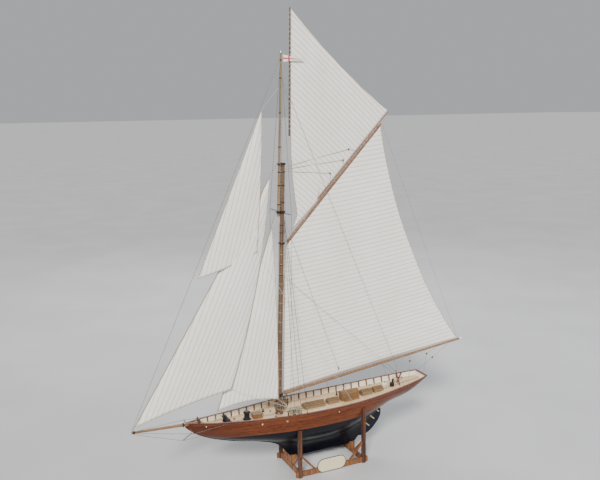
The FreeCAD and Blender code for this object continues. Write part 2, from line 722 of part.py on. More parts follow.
def box_hatch():
    """A box with an overhanging lid."""
    x0, x1 = HATCH_X
    overhang = 1.0
    body = deck_box(x0 + overhang, x1 - overhang, -HATCH_HALF + overhang, HATCH_HALF - overhang, HATCH_HEIGHT)
    below_lid = deck_box(x0 - 1.0, x1 + 1.0, -HATCH_HALF - 1.0, HATCH_HALF + 1.0, HATCH_HEIGHT - 0.6)
    lid = deck_box(x0, x1, -HATCH_HALF, HATCH_HALF, HATCH_HEIGHT + 1.4).cut(below_lid)
    return fuse([body, lid])


def ventilator(x, y):
    profile = [(3.2, -2.5), (3.2, 0.6), (1.6, 1.6), (1.2, 4.4), (2.0, 5.2), (0.6, 6.6)]
    return turned(profile, x, y, deck_height(x, y))


def bollard(x, y):
    profile = [(1.3, -2.5), (1.1, 1.6), (1.7, 2.2), (1.6, 3.0)]
    return turned(profile, x, y, deck_height(x, y))


def cleat(x, y):
    base = deck_height(x, y)
    foot = rod(vec(x, y, base - 2.5), vec(x, y, base + 1.4), 0.9)
    return fuse([foot, rod(vec(x - 2.6, y, base + 1.4), vec(x + 2.6, y, base + 1.4), 0.6)])


def pin_rack(x0, x1, y):
    """A rack for belaying pins, on three legs."""
    base = deck_height(0.5 * (x0 + x1), y)
    low = base + RACK_HEIGHT
    rail = box(x0, x1, y - 2.2, y + 2.2, low, low + RACK_THICKNESS)
    legs = []
    for x in (x0 + 2.0, 0.5 * (x0 + x1), x1 - 2.0):
        legs.append(box(x - 1.2, x + 1.2, y - 1.2, y + 1.2, base - 3.0, low))
    return fuse([rail] + legs)


def belaying_pins():
    profile = [(0.8, 0.0), (0.6, 0.9), (1.0, 2.8), (0.6, 4.4)]
    base = deck_height(0.5 * (RACK_X0 + RACK_X1), RACK_Y) + RACK_HEIGHT + RACK_THICKNESS
    pins = []
    for i in range(PINS_PER_RACK):
        x = lerp(RACK_X0 + 4.0, RACK_X1 - 4.0, i / (PINS_PER_RACK - 1.0))
        pins += both_sides(turned(profile, x, RACK_Y, base))
    return group(pins)


def windlass_frame(x):
    """Two cheeks on a bed."""
    base = deck_height(x)
    low = base - 2.5
    top = base + WINDLASS_AXIS + 4.5
    outline = [(x - 7, low), (x + 7, low), (x + 3.4, top), (x - 3.4, top)]
    z = base + WINDLASS_AXIS
    axle_space = rod(vec(x, -20, z), vec(x, 20, z), WINDLASS_AXLE_RADIUS + 0.05)
    cheek = prism(outline, -WINDLASS_CHEEK_Y - 1.2, -WINDLASS_CHEEK_Y + 1.2).cut(axle_space)
    bed = box(x - 7, x + 7, -WINDLASS_CHEEK_Y + 1.0, WINDLASS_CHEEK_Y - 1.0, low, base + 0.8)
    return fuse(both_sides(cheek) + [bed])


def windlass_barrel(x):
    """A ribbed barrel and two warping drums on one axle."""
    z = deck_height(x) + WINDLASS_AXIS
    inner = WINDLASS_CHEEK_Y - 1.5
    outer = WINDLASS_CHEEK_Y + 1.5
    waist = outer + 3.4
    end = outer + 6.8
    parts = [rod(vec(x, -inner, z), vec(x, inner, z), 3.6)]
    parts.append(rod(vec(x, -outer - 1, z), vec(x, outer + 1, z), WINDLASS_AXLE_RADIUS))
    for y in (-6.0, -2.0, 2.0, 6.0):
        parts.append(rod(vec(x, y - 0.7, z), vec(x, y + 0.7, z), 4.4))
    for side in (-1.0, 1.0):
        parts.append(rod(vec(x, side * outer, z), vec(x, side * waist, z), 4.3, 2.8))
        parts.append(rod(vec(x, side * waist, z), vec(x, side * end, z), 2.8, 4.5))
    return fuse(parts)


def capstan_base(x):
    z = deck_height(x)
    base = turned([(8.8, -2.5), (8.8, 1.4), (7.4, 2.2)], x, 0.0, z)
    return base.cut(rod(vec(x, 0, z - 1.0), vec(x, 0, z + 9.0), CAPSTAN_SPINDLE_RADIUS + 0.05))


def capstan_drum(x):
    """A drum with whelps, a barred head and a spindle."""
    z = deck_height(x)
    profile = [(7.2, 2.5), (4.4, 5.4), (4.0, 11.6), (6.0, 14.0), (7.2, 14.6), (7.2, 17.6), (5.6, 19.2)]
    drum = turned(profile, x, 0.0, z)
    spindle = rod(vec(x, 0, z + 0.1), vec(x, 0, z + 5.0), CAPSTAN_SPINDLE_RADIUS)
    whelps = []
    for i in range(6):
        angle = math.radians(60.0 * i)
        reach = vec(math.cos(angle), math.sin(angle), 0) * 4.8
        whelps.append(rod(vec(x, 0, z + 3.6) + reach * 1.15, vec(x, 0, z + 13.6) + reach, 0.9))
        socket = vec(math.cos(angle + 0.5), math.sin(angle + 0.5), 0)
        whelps.append(rod(vec(x, 0, z + 16.1) + socket * 6.8, vec(x, 0, z + 16.1) + socket * 8.0, 1.0))
    return fuse([drum, spindle] + whelps)


def steering_pedestal(x):
    """The drum over the rudder head, with the wheel's bearing post."""
    z = deck_height(x)
    drum = turned([(5.2, -2.5), (5.6, 0.8), (5.6, 7.0), (4.6, 8.4)], x, 0.0, z)
    post = box(x + 0.6, x + 3.6, -1.6, 1.6, z + 6.0, z + WHEEL_HEIGHT + 2.0)
    bore = rod(vec(x, 0, z + WHEEL_HEIGHT), vec(x + 6, 0, z + WHEEL_HEIGHT), 0.95)
    hollow = rod(stock_point(120.0), stock_point(STOCK_TOP_Z + 2.0), RUDDER_STOCK_RADIUS + 0.6)
    return fuse([drum, post]).cut(bore).cut(hollow)


def steering_wheel(x):
    """Rim, spokes with their grips, hub and axle."""
    centre = vec(x + 6.2, 0, deck_height(x) + WHEEL_HEIGHT)
    rim = Part.makeTorus(WHEEL_RADIUS - 1.4, 0.55, centre, vec(1, 0, 0))
    hub = rod(centre - vec(1.2, 0, 0), centre + vec(1.2, 0, 0), 1.5)
    axle = rod(centre - vec(5.2, 0, 0), centre, 0.9)
    spokes = []
    for i in range(8):
        angle = math.radians(45.0 * i)
        spokes.append(rod(centre, centre + vec(0, math.cos(angle), math.sin(angle)) * WHEEL_RADIUS, 0.4))
    return fuse([rim, hub, axle] + spokes)


def boom_crutch(x):
    """Two crossed legs that stand across the deck."""
    base = deck_height(x)
    top = base + CRUTCH_HEIGHT
    outline = [(8.5, base - 2.0), (11.5, base - 2.0), (-8.5, top), (-11.5, top)]
    points = [vec(x + 0.2, y, z) for y, z in outline]
    leg = Part.Face(Part.makePolygon(points + points[:1])).extrude(vec(2.2, 0, 0))
    other = mirror_y(leg)
    other.translate(vec(-2.6, 0, 0))
    return group([leg, other])


def bitts(x):
    """Two posts and a cross bar at the bowsprit's heel."""
    base = deck_height(x)
    uprights = [box(x - 1.6, x + 1.6, s * 5.6 - 1.5, s * 5.6 + 1.5, base - 2.5, 161.0) for s in (-1.0, 1.0)]
    bar = rod(vec(x, -9.5, 157.4), vec(x, 9.5, 157.4), 1.3)
    return fuse(uprights + [bar])


def spider_band():
    """The iron band with its pins round the mast, above the coat at the deck."""
    band = collar(mast_axis(160.0), mast_direction(), MAST_RADIUS + 0.1, MAST_RADIUS + 2.6, 2.4)
    pins = []
    for i in range(8):
        angle = math.radians(45.0 * i + 22.5)
        centre = mast_axis(160.0) + vec(math.cos(angle), math.sin(angle), 0) * (MAST_RADIUS + 2.0)
        pins.append(rod(centre - vec(0, 0, 4.5), centre + vec(0, 0, 3.5), 0.6))
    return fuse([band] + pins)


def mast_coat():
    x = MAST_X
    z = deck_height(x)
    ring = turned([(9.2, -2.5), (9.2, 0.8), (7.6, 3.6), (6.9, 5.2)], x + 0.1, 0.0, z)
    return ring.cut(rod(mast_axis(100.0), mast_axis(180.0), MAST_RADIUS + 0.15))


def build_fittings(slab_block):
    """Everything that stands on the deck, trimmed to the deck's camber and sheer."""
    house_x0, house_x1 = HOUSE_X
    bench_top = deck_height(house_x1) + 4.0
    bench_y0 = -HOUSE_HALF - BENCH_WIDTH
    bench = box(house_x0 + 4.0, house_x1 - 1.0, bench_y0, -HOUSE_HALF - 0.05, on_deck(house_x0), bench_top)
    bollards = [part for x, y in BOLLARDS for part in both_sides(bollard(x, y))]
    cleats = [part for x, y in CLEATS for part in both_sides(cleat(x, y))]
    standing = {
        "bowsprit_bitts": bitts(BITTS_X),
        "windlass_frame": windlass_frame(WINDLASS_X),
        "capstan_base": capstan_base(CAPSTAN_X),
        "bollards_and_cleats": group(bollards + cleats),
        "foredeck_hatch": box_hatch(),
        "deck_ventilators": group([ventilator(-134.0, 24.0), ventilator(56.0, 31.0)]),
        "mast_coat": mast_coat(),
        "pin_racks": group(both_sides(pin_rack(RACK_X0, RACK_X1, RACK_Y))),
        "skylights": group([gabled_skylight(*item) for item in SKYLIGHTS]),
        "deckhouse": group([deckhouse(house_x0, house_x1, HOUSE_HALF, HOUSE_WALL, HOUSE_CROWN), bench]),
        "compass_stand": turned(COMPASS_PROFILE, 180.0, 20.0, deck_height(180.0, 20.0)),
        "steering_pedestal": steering_pedestal(PEDESTAL_X),
        "boom_crutch": boom_crutch(CRUTCH_X),
    }
    for name in standing:
        standing[name] = standing[name].cut(slab_block)
    standing["belaying_pins"] = belaying_pins()
    standing["mast_spider_band"] = spider_band()
    return standing


# ---------------------------------------------------------------- spars

def build_spars():
    head = mast_axis(MAST_CAP_Z)
    lower_mast = rod(mast_axis(100.0), head, MAST_RADIUS + 0.1, MAST_HEAD_RADIUS)
    topmast_foot = topmast_axis(HOUNDS_Z - 9.0)
    topmast = rod(topmast_foot, topmast_axis(TOPMAST_HEAD_Z), TOPMAST_RADIUS, TOPMAST_HEAD_RADIUS)
    truck = rod(topmast_axis(TOPMAST_HEAD_Z + 0.05), topmast_axis(TOPMAST_HEAD_Z + 3.4), 2.6, 1.4)
    direction = mast_direction()
    hounds = mast_radius(HOUNDS_Z) + 0.1
    cap_inner = MAST_HEAD_RADIUS + 0.15
    cap_top = mast_axis(MAST_CAP_Z - 3.2)
    ahead = vec(-TOPMAST_OFFSET, 0, 0)
    cap = fuse([
        collar(cap_top, direction, cap_inner, cap_inner + 1.6, 3.2),
        collar(cap_top + ahead, direction, TOPMAST_RADIUS + 0.15, TOPMAST_RADIUS + 1.8, 3.2),
    ])
    clear_masts = [rod(mast_axis(500.0), mast_axis(750.0), cap_inner),
                   rod(topmast_axis(500.0), topmast_axis(750.0), TOPMAST_RADIUS + 0.15)]
    heel = mast_axis(HOUNDS_Z)
    arm_root = mast_axis(HOUNDS_Z, -0.5 * TOPMAST_OFFSET, 3.0)
    arm_tip = mast_axis(HOUNDS_Z + 0.5, -0.5 * TOPMAST_OFFSET, SPREADER_REACH)
    band = fuse([
        collar(heel, direction, hounds, hounds + 1.5, 5.0),
        collar(heel + ahead, direction, TOPMAST_RADIUS + 0.15, TOPMAST_RADIUS + 1.7, 5.0),
    ] + both_sides(rod(arm_root, arm_tip, 0.95, 0.7)))
    band = band.cut(rod(mast_axis(500.0), mast_axis(650.0), mast_radius(HOUNDS_Z) + 0.1))
    band = band.cut(clear_masts[1])
    sprit_tip = bowsprit_axis(BOWSPRIT_TIP[0])
    bowsprit = rod(bowsprit_axis(BOWSPRIT_HEEL[0]), sprit_tip, BOWSPRIT_RADIUS, BOWSPRIT_TIP_RADIUS)
    along = bowsprit_axis(-400.0) - bowsprit_axis(-300.0)
    sprit_end = bowsprit_axis(-427.0)
    end_iron = collar(sprit_end, along, BOWSPRIT_TIP_RADIUS + 0.15, BOWSPRIT_TIP_RADIUS + 0.9, 4.0)
    gammon = collar(bowsprit_axis(-324.0), along, BOWSPRIT_RADIUS + 0.05, BOWSPRIT_RADIUS + 0.9, 3.0)
    striker = rod(STRIKER_ROOT, STRIKER_TIP, 1.0, 0.8)
    whisker = rod(vec(WHISKER_X, -WHISKER_REACH, WHISKER_Z), vec(WHISKER_X, WHISKER_REACH, WHISKER_Z), 0.95)
    return {
        "lower_mast": lower_mast,
        "topmast": topmast,
        "mast_truck": truck,
        "spar_irons": group([cap.cut(group(clear_masts)), band, end_iron, gammon]),
        "bowsprit": bowsprit,
        "dolphin_striker": striker,
        "whisker_spreader": whisker,
    }


def around_mast(z, radius, length):
    """A cylinder on the lower mast's axis, centred at height z."""
    half = mast_direction().normalize() * (0.5 * length)
    return rod(mast_axis(z) - half, mast_axis(z) + half, radius)


def jaws(z):
    """A forked end that embraces the mast from behind, with clearance."""
    hole = mast_radius(z) + JAW_GAP
    ring = around_mast(z, hole + JAW_WIDTH, JAW_THICKNESS).cut(around_mast(z, hole, 20.0))
    front = mast_axis(z).x - 0.45 * hole
    opening = box(front - 30.0, front, -0.8 * hole, 0.8 * hole, z - 10.0, z + 10.0)
    return ring.cut(opening)


def build_main_spars():
    """Boom, gaff and the two topsail yards, which swing together about the mast."""
    boom_start = spar(BOOM_JAW, BOOM_END, 0.0)
    boom = rod(boom_start, spar(BOOM_JAW, BOOM_END, 1.0), BOOM_RADIUS, BOOM_TIP_RADIUS)
    gaff = rod(spar(GAFF_JAW, GAFF_END, 0.0), spar(GAFF_JAW, GAFF_END, 1.0), GAFF_RADIUS, GAFF_TIP_RADIUS)
    saddles = [jaws(BOOM_JAW[1]), jaws(GAFF_JAW[1])]
    yard_foot = spar(TOPSAIL_YARD_FOOT, TOPSAIL_YARD_HEAD, 0.0)
    yard_head = spar(TOPSAIL_YARD_FOOT, TOPSAIL_YARD_HEAD, 1.0)
    yard = rod(yard_foot, yard_head, TOPSAIL_YARD_RADIUS, 1.2)
    jackyard_low = spar(JACKYARD_LOW, JACKYARD_HIGH, 0.0)
    jackyard = rod(jackyard_low, spar(JACKYARD_LOW, JACKYARD_HIGH, 1.0), JACKYARD_RADIUS, 1.1)
    return {
        "boom": boom.cut(around_mast(BOOM_JAW[1], mast_radius(BOOM_JAW[1]) + JAW_GAP + JAW_WIDTH, 60.0)),
        "gaff": gaff.cut(around_mast(GAFF_JAW[1], mast_radius(GAFF_JAW[1]) + JAW_GAP + JAW_WIDTH, 60.0)),
        "spar_jaws": group(saddles),
        "topsail_yard": yard,
        "topsail_jackyard": jackyard,
    }


# ---------------------------------------------------------------- sails

def sail(corners, bulges, swing=0.0):
    """A flat sail from its (x, z) corners, turned to port about its last edge by swing."""
    edges = []
    count = len(corners)
    for i in range(count):
        start = at(corners[i])
        end = at(corners[(i + 1) % count])
        if bulges[i] == 0.0:
            edges.append(Part.makeLine(start, end))
            continue
        along = (end - start).normalize()
        outward = vec(-along.z, 0, along.x)
        middle = (start + end) * 0.5 + outward * bulges[i]
        edges.append(Part.Arc(start, middle, end).toShape())
    face = Part.Face(Part.Wire(edges))
    face.translate(vec(0, -0.5 * SAIL_THICKNESS, 0))
    cloth = face.extrude(vec(0, SAIL_THICKNESS, 0))
    if swing > 0.0:
        luff = at(corners[0]) - at(corners[-1])
        cloth.rotate(at(corners[-1]), luff, -swing)
    return cloth


def build_sails():
    return {
        "jib": sail(JIB, JIB_BULGES, JIB_SWING),
        "staysail": sail(STAYSAIL, STAYSAIL_BULGES, STAYSAIL_SWING),
        "jib_topsail": sail(JIB_TOPSAIL, JIB_TOPSAIL_BULGES, JIB_TOPSAIL_SWING),
        "mainsail": sail(MAINSAIL, MAINSAIL_BULGES),
        "topsail": sail(TOPSAIL, TOPSAIL_BULGES),
        "burgee": sail(BURGEE, (0.0, 0.0, 0.0), BURGEE_SWING),
    }


# ---------------------------------------------------------------- rigging

def line(start, end, radius=LINE_RADIUS):
    return rod(start, end, radius)


def chainplate(x):
    """Where a shroud or a backstay meets the rail, on the port side."""
    return vec(x, -rail_breadth(x) + 1.4, rail_height(x) + RAIL_THICKNESS + 0.6)


def deadeye(x, top):
    """A pair of deadeyes on the line from the rail towards the masthead."""
    foot = chainplate(x)
    along = (top - foot).normalize()
    across = vec(0, 1, 0).cross(along).normalize().cross(along).normalize()
    discs = []
    for distance in (1.6, 7.0):
        centre = foot + along * distance
        discs.append(rod(centre - across * 0.6, centre + across * 0.6, 1.5))
    return discs


def build_rigging():
    hounds_side = mast_axis(HOUNDS_Z - 5.0, 0.0, -(mast_radius(HOUNDS_Z) + MAST_LINE_GAP))
    shroud_lines = []
    eyes = []
    for x in SHROUD_X:
        along = (hounds_side - chainplate(x)).normalize()
        top = hounds_side + vec(0.06 * (x - SHROUD_X[0]), 0, 0)
        shroud_lines.append(line(chainplate(x) + along * 9.0, top, STAY_RADIUS))
        eyes += deadeye(x, hounds_side)
    tip = mast_axis(HOUNDS_Z + 0.5, -0.5 * TOPMAST_OFFSET, -SPREADER_REACH - 0.5)
    topmast_side = topmast_axis(TOPMAST_STAY_Z - 6.0, 0.0, -(topmast_radius(TOPMAST_STAY_Z) + 1.0))
    deck_end = chainplate(TOPMAST_SHROUD_X)
    topmast_lines = [line(deck_end, tip - vec(0, 0, 1.2)), line(tip + vec(0, 0, 1.4), topmast_side)]
    runner_top = mast_axis(HOUNDS_Z - 16.0, 3.0, -(mast_radius(HOUNDS_Z) + MAST_LINE_GAP + 0.2))
    backstay_lines = []
    blocks = []
    topmast_backstay_top = topmast_axis(TOPMAST_BACKSTAY_Z, 2.0, -3.6)
    lower_backstay_top = mast_axis(LOWER_BACKSTAY_Z, 2.5, -6.2)
    backstays = (
        (runner_top, RUNNER_X),
        (topmast_backstay_top, TOPMAST_BACKSTAY_X),
        (lower_backstay_top, LOWER_BACKSTAY_X),
    )
    for top, foot_x in backstays:
        backstay_lines.append(line(chainplate(foot_x), top))
    foot = chainplate(RUNNER_X)
    along = (runner_top - foot).normalize()
    centre = foot + along * RUNNER_BLOCK_HEIGHT
    block = rod(centre - along * 2.2 + vec(0, -2.0, 0), centre + along * 2.2 + vec(0, -2.0, 0), 1.4)
    blocks.append(block)
    topmast_front = topmast_axis(TOPMAST_STAY_Z, -(TOPMAST_HEAD_RADIUS + 1.0))
    stays = [
        line(at(JIB_TOPSAIL_STAY_START), topmast_front, STAY_RADIUS),
        line(at(JIB_STAY[0]), at(JIB_STAY[1]), STAY_RADIUS),
        line(at(STAYSAIL_STAY[0]), at(STAYSAIL_STAY[1]), STAY_RADIUS),
    ]
    sprit_end = bowsprit_axis(-427.0)
    bob_lines = [
        line(sprit_end - vec(0, 0, 4.2), STRIKER_TIP + vec(-1.6, 0, 0.0)),
        line(STRIKER_TIP + vec(1.4, 0, -0.4), BOBSTAY_PLATE),
    ]
    for side in (-1.0, 1.0):
        whisker_end = vec(WHISKER_X, side * (WHISKER_REACH + 0.6), WHISKER_Z)
        bob_lines.append(line(sprit_end + vec(0, side * 3.8, 0), whisker_end + vec(-0.6, 0, 0)))
        hull_y = side * (rail_breadth(BOWSPRIT_SHROUD_X) + 0.6)
        hull_end = vec(BOWSPRIT_SHROUD_X, hull_y, rail_height(BOWSPRIT_SHROUD_X) - 3.0)
        bob_lines.append(line(whisker_end + vec(0.6, 0, 0), hull_end))
    return {
        "shrouds": group([part for item in shroud_lines + topmast_lines for part in both_sides(item)]),
        "shroud_deadeyes": group([part for item in eyes + blocks for part in both_sides(item)]),
        "stays": group(stays + [part for item in backstay_lines for part in both_sides(item)]),
        "bowsprit_rigging": group(bob_lines),
    }


def block_body(centre, size):
    """A small wooden block: a round shell with bevelled faces."""
    half = vec(0, 0.7 * size, 0)
    rim = half * 0.4
    middle = rod(centre - rim, centre + rim, 1.15 * size)
    faces = [rod(centre + rim * side, centre + half * side, 1.15 * size, 0.8 * size) for side in (-1.0, 1.0)]
    return fuse([middle] + faces)


def build_running_rigging():
    """Peak spans and halyards, flag halyard and mainsheet, with their blocks."""
    blocks = []
    lines = []
    for i, (t, apex) in enumerate(PEAK_SPANS):
        on_gaff = spar(GAFF_JAW, GAFF_END, t) + vec(0, -PEAK_SIDE, 3.4)
        apex_point = vec(apex[0], -PEAK_SIDE, apex[1])
        blocks.append(block_body(apex_point, 1.7))
        lines.append(line(on_gaff, apex_point + (on_gaff - apex_point).normalize() * 2.6))
        mast_end = mast_axis(MAST_CAP_Z - 9.0 - 5.0 * i, mast_radius(MAST_CAP_Z) + 2.0, -3.0)
        away = (mast_end - apex_point).normalize()
        lines.append(line(apex_point + away * 2.6, mast_end))
    flag_top = spar(GAFF_JAW, GAFF_END, 1.0) + vec(3.0, 0, 0)
    flag_line = line(flag_top, spar(BOOM_JAW, BOOM_END, 0.975) + vec(0, 0, 3.6), 0.25)
    sheet_blocks = []
    sheets = []
    for boom_t, block_point, deck_point in MAINSHEETS:
        centre = vec(block_point[0], 0, block_point[1])
        sheet_blocks.append(block_body(centre, 2.0))
        above = spar(BOOM_JAW, BOOM_END, boom_t) - vec(0, 0, 4.6)
        lines.append(line(centre + (above - centre).normalize() * 3.0, above))
        foot = vec(*deck_point)
        sheets.append(line(foot, centre + (foot - centre).normalize() * 3.2))
    return {
        "main_rig_lines": group(lines + [flag_line]),
        "main_rig_blocks": group(blocks + sheet_blocks),
        "mainsheet": group(sheets),
    }


# ---------------------------------------------------------------- output

def export(parts):
    os.makedirs("parts", exist_ok=True)
    for name, shape in parts.items():
        shape.translate(vec(ORIGIN_SHIFT_X, 0, 0))
        shape.exportStep("parts/" + name + ".step")


def main():
    outer = hull_form()
    hull = outer.cut(group([under_counter(), behind_transom(0.0), below_keel()]))
    inner = hull_form(SHELL_THICKNESS, 2.5, 8.0, 1, None).cut(behind_transom(TRANSOM_THICKNESS))
    slab = sheer_slab(DECK_THICKNESS, 0.0, 4.0, DECK_CAMBER, True)
    slab_block = sheer_slab(70.0, FITTING_GAP, 8.0, DECK_CAMBER, True)
    sprit_space = rod(bowsprit_axis(-260.0), bowsprit_axis(-400.0), BOWSPRIT_RADIUS + 0.05)
    whisker_space = rod(vec(WHISKER_X, -40, WHISKER_Z), vec(WHISKER_X, 40, WHISKER_Z), 1.0)
    stock_space = rod(stock_point(90.0), stock_point(150.0), RUDDER_STOCK_RADIUS + 0.6)
    gammon_space = rod(bowsprit_axis(-322.0), bowsprit_axis(-340.0), BOWSPRIT_RADIUS + 1.0)
    spaces = [sprit_space, whisker_space, stock_space, gammon_space]
    parts = build_cradle(hull_form(-POST_CLEARANCE))
    topsides, underbody, deck, plate, frames = build_hull(hull, inner, slab, spaces)
    parts["hull_topsides"] = topsides
    parts["hull_underbody"] = underbody
    parts["deck"] = deck
    parts["backbone"] = plate
    parts["bulkhead_frames"] = frames
    parts["rail_cap"] = rail_cap().cut(sprit_space)
    parts["bulwark_stanchions"] = stanchions(inner, slab_block)
    parts["rudder"] = build_rudder()
    on_blade, on_post = build_straps(hull)
    parts["rudder_straps"] = on_blade
    parts["sternpost_straps"] = on_post
    parts["windlass_barrel"] = windlass_barrel(WINDLASS_X)
    parts["capstan_drum"] = capstan_drum(CAPSTAN_X)
    parts["steering_wheel"] = steering_wheel(PEDESTAL_X)
    parts.update(build_fittings(slab_block))
    parts.update(build_spars())
    parts.update(build_main_spars())
    parts.update(build_sails())
    parts.update(build_rigging())
    parts.update(build_running_rigging())
    export(parts)


main()
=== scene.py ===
import math
import random
import bpy
import bmesh
from mathutils import Matrix, Vector, noise


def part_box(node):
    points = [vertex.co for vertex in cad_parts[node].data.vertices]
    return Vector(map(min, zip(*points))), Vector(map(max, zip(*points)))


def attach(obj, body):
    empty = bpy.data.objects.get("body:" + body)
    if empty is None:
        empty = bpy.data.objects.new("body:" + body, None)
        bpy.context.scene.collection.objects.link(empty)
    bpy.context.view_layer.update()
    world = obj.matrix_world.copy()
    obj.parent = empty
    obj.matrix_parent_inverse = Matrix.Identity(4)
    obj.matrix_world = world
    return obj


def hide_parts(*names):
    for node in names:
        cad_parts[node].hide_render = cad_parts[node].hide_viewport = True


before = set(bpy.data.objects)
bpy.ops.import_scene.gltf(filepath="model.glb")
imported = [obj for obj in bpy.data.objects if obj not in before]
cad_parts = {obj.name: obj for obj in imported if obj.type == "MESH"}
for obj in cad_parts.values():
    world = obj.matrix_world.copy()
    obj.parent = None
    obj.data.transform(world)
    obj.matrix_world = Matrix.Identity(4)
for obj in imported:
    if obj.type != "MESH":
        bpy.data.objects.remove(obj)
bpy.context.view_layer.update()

random.seed(7)

# The CAD is drawn in millimetres from the cradle's centre, then moved aft by this much.
ORIGIN_SHIFT = 22.0


def mm(x, y, z):
    """A point given in the drawing's millimetres, as metres in the row frame."""
    return Vector(((x + ORIGIN_SHIFT) / 1000.0, y / 1000.0, z / 1000.0))


def lerp(a, b, t):
    return a + (b - a) * t


# ---------------------------------------------------------------- material helpers

class Nodes:
    """A small builder for node materials in one shader tree."""

    def __init__(self, name):
        self.material = bpy.data.materials.new(name)
        self.material.use_nodes = True
        self.tree = self.material.node_tree
        self.tree.nodes.clear()
        self.out = self.tree.nodes.new("ShaderNodeOutputMaterial")
        self.shader = self.tree.nodes.new("ShaderNodeBsdfPrincipled")
        self.tree.links.new(self.shader.outputs[0], self.out.inputs[0])
        self.coords = self.tree.nodes.new("ShaderNodeTexCoord")

    def link(self, source, target):
        self.tree.links.new(source, target)

    def feed(self, value, socket):
        if hasattr(value, "links"):
            self.link(value, socket)
        else:
            socket.default_value = value

    def math(self, operation, a, b=0.0, c=0.0):
        node = self.tree.nodes.new("ShaderNodeMath")
        node.operation = operation
        for value, socket in zip((a, b, c), node.inputs):
            self.feed(value, socket)
        return node.outputs[0]

    def place(self, scale=(1.0, 1.0, 1.0), rotation=(0.0, 0.0, 0.0), source="Object"):
        node = self.tree.nodes.new("ShaderNodeMapping")
        node.inputs["Scale"].default_value = scale
        node.inputs["Rotation"].default_value = rotation
        self.link(self.coords.outputs[source], node.inputs["Vector"])
        return node.outputs[0]

    def noise(self, vector, scale, detail=3.0, roughness=0.55, distortion=0.0):
        node = self.tree.nodes.new("ShaderNodeTexNoise")
        node.inputs["Scale"].default_value = scale
        node.inputs["Detail"].default_value = detail
        node.inputs["Roughness"].default_value = roughness
        node.inputs["Distortion"].default_value = distortion
        self.link(vector, node.inputs["Vector"])
        return node.outputs[0]

    def split(self, vector):
        node = self.tree.nodes.new("ShaderNodeSeparateXYZ")
        self.link(vector, node.inputs[0])
        return node.outputs

    def span(self, value, low, high, out_low=0.0, out_high=1.0):
        node = self.tree.nodes.new("ShaderNodeMapRange")
        node.interpolation_type = "SMOOTHSTEP"
        self.feed(value, node.inputs["Value"])
        node.inputs["From Min"].default_value = low
        node.inputs["From Max"].default_value = high
        node.inputs["To Min"].default_value = out_low
        node.inputs["To Max"].default_value = out_high
        return node.outputs[0]

    def mix(self, factor, a, b):
        node = self.tree.nodes.new("ShaderNodeMix")
        node.data_type = "RGBA"
        self.feed(factor, node.inputs[0])
        for value, socket in ((a, node.inputs[6]), (b, node.inputs[7])):
            if hasattr(value, "links"):
                self.link(value, socket)
            else:
                socket.default_value = (*value, 1.0)
        return node.outputs[2]

    def bump(self, height, distance, strength=1.0):
        node = self.tree.nodes.new("ShaderNodeBump")
        node.inputs["Strength"].default_value = strength
        node.inputs["Distance"].default_value = distance
        self.link(height, node.inputs["Height"])
        self.link(node.outputs[0], self.shader.inputs["Normal"])

    def lines(self, coordinate, width):
        """1 on thin lines where the coordinate passes a whole number."""
        part = self.math("FRACT", coordinate)
        distance = self.math("ABSOLUTE", self.math("SUBTRACT", part, 0.5))
        return self.span(distance, 0.5 - width, 0.5 - 0.35 * width)

    def finish(self, color, roughness, metallic=0.0, coat=0.0, sheen=0.0):
        self.feed(color if hasattr(color, "links") else (*color, 1.0), self.shader.inputs["Base Color"])
        self.feed(roughness, self.shader.inputs["Roughness"])
        self.shader.inputs["Metallic"].default_value = metallic
        self.shader.inputs["Coat Weight"].default_value = coat
        self.shader.inputs["Coat Roughness"].default_value = 0.12
        self.shader.inputs["Specular IOR Level"].default_value = 0.5 if metallic else 0.18
        self.shader.inputs["Sheen Weight"].default_value = sheen
        return self.material


def wood(name, light, dark, along, scale, roughness, coat):
    """Straight-grained wood; along squeezes the grain across its length."""
    n = Nodes(name)
    grain = n.noise(n.place(along), scale, 5.0, 0.62, 0.6)
    broad = n.noise(n.place((1, 1, 1)), 14.0, 2.0)
    color = n.mix(n.span(grain, 0.35, 0.68), dark, light)
    color = n.mix(n.span(broad, 0.35, 0.75, 0.0, 0.35), color, tuple(0.72 * c for c in dark))
    n.bump(grain, 0.00012, 0.6)
    return n.finish(color, n.span(grain, 0.2, 0.8, roughness + 0.12, roughness - 0.06), coat=coat)


def paint(name, base, wear_and_sheen, roughness=0.35, coat=0.2, metallic=0.0, wear_and_sheen_from=0.62):
    """Paint with slight unevenness, dust and rubbed spots; on the underbody the lighter patches are painted
    reflections.
    """
    n = Nodes(name)
    broad = n.noise(n.place(), 40.0, 4.0)
    fine = n.noise(n.place(), 900.0, 2.0)
    # Patches of the second colour: dust and rubbed spots, and on the underbody painted reflections of scattered
    # light.
    color = n.mix(n.span(broad, wear_and_sheen_from, 0.85), base, wear_and_sheen)
    n.bump(fine, 0.00006, 0.4)
    return n.finish(color, n.span(broad, 0.2, 0.8, roughness - 0.05, roughness + 0.12), metallic, coat)


def thread(name, base, dark, pitch=900.0):
    """Laid rigging line: a fine diagonal twist."""
    n = Nodes(name)
    x, y, z = n.split(n.coords.outputs["Object"])
    run = n.math("ADD", n.math("MULTIPLY", x, pitch), n.math("MULTIPLY", z, pitch))
    run = n.math("ADD", run, n.math("MULTIPLY", y, 1.7 * pitch))
    twist = n.math("MULTIPLY_ADD", n.math("SINE", run), 0.5, 0.5)
    soft = n.noise(n.place(), 60.0, 2.0)
    color = n.mix(twist, dark, base)
    color = n.mix(n.span(soft, 0.4, 0.7, 0.0, 0.4), color, dark)
    n.bump(twist, 0.00015, 0.7)
    return n.finish(color, 0.82, sheen=0.2)


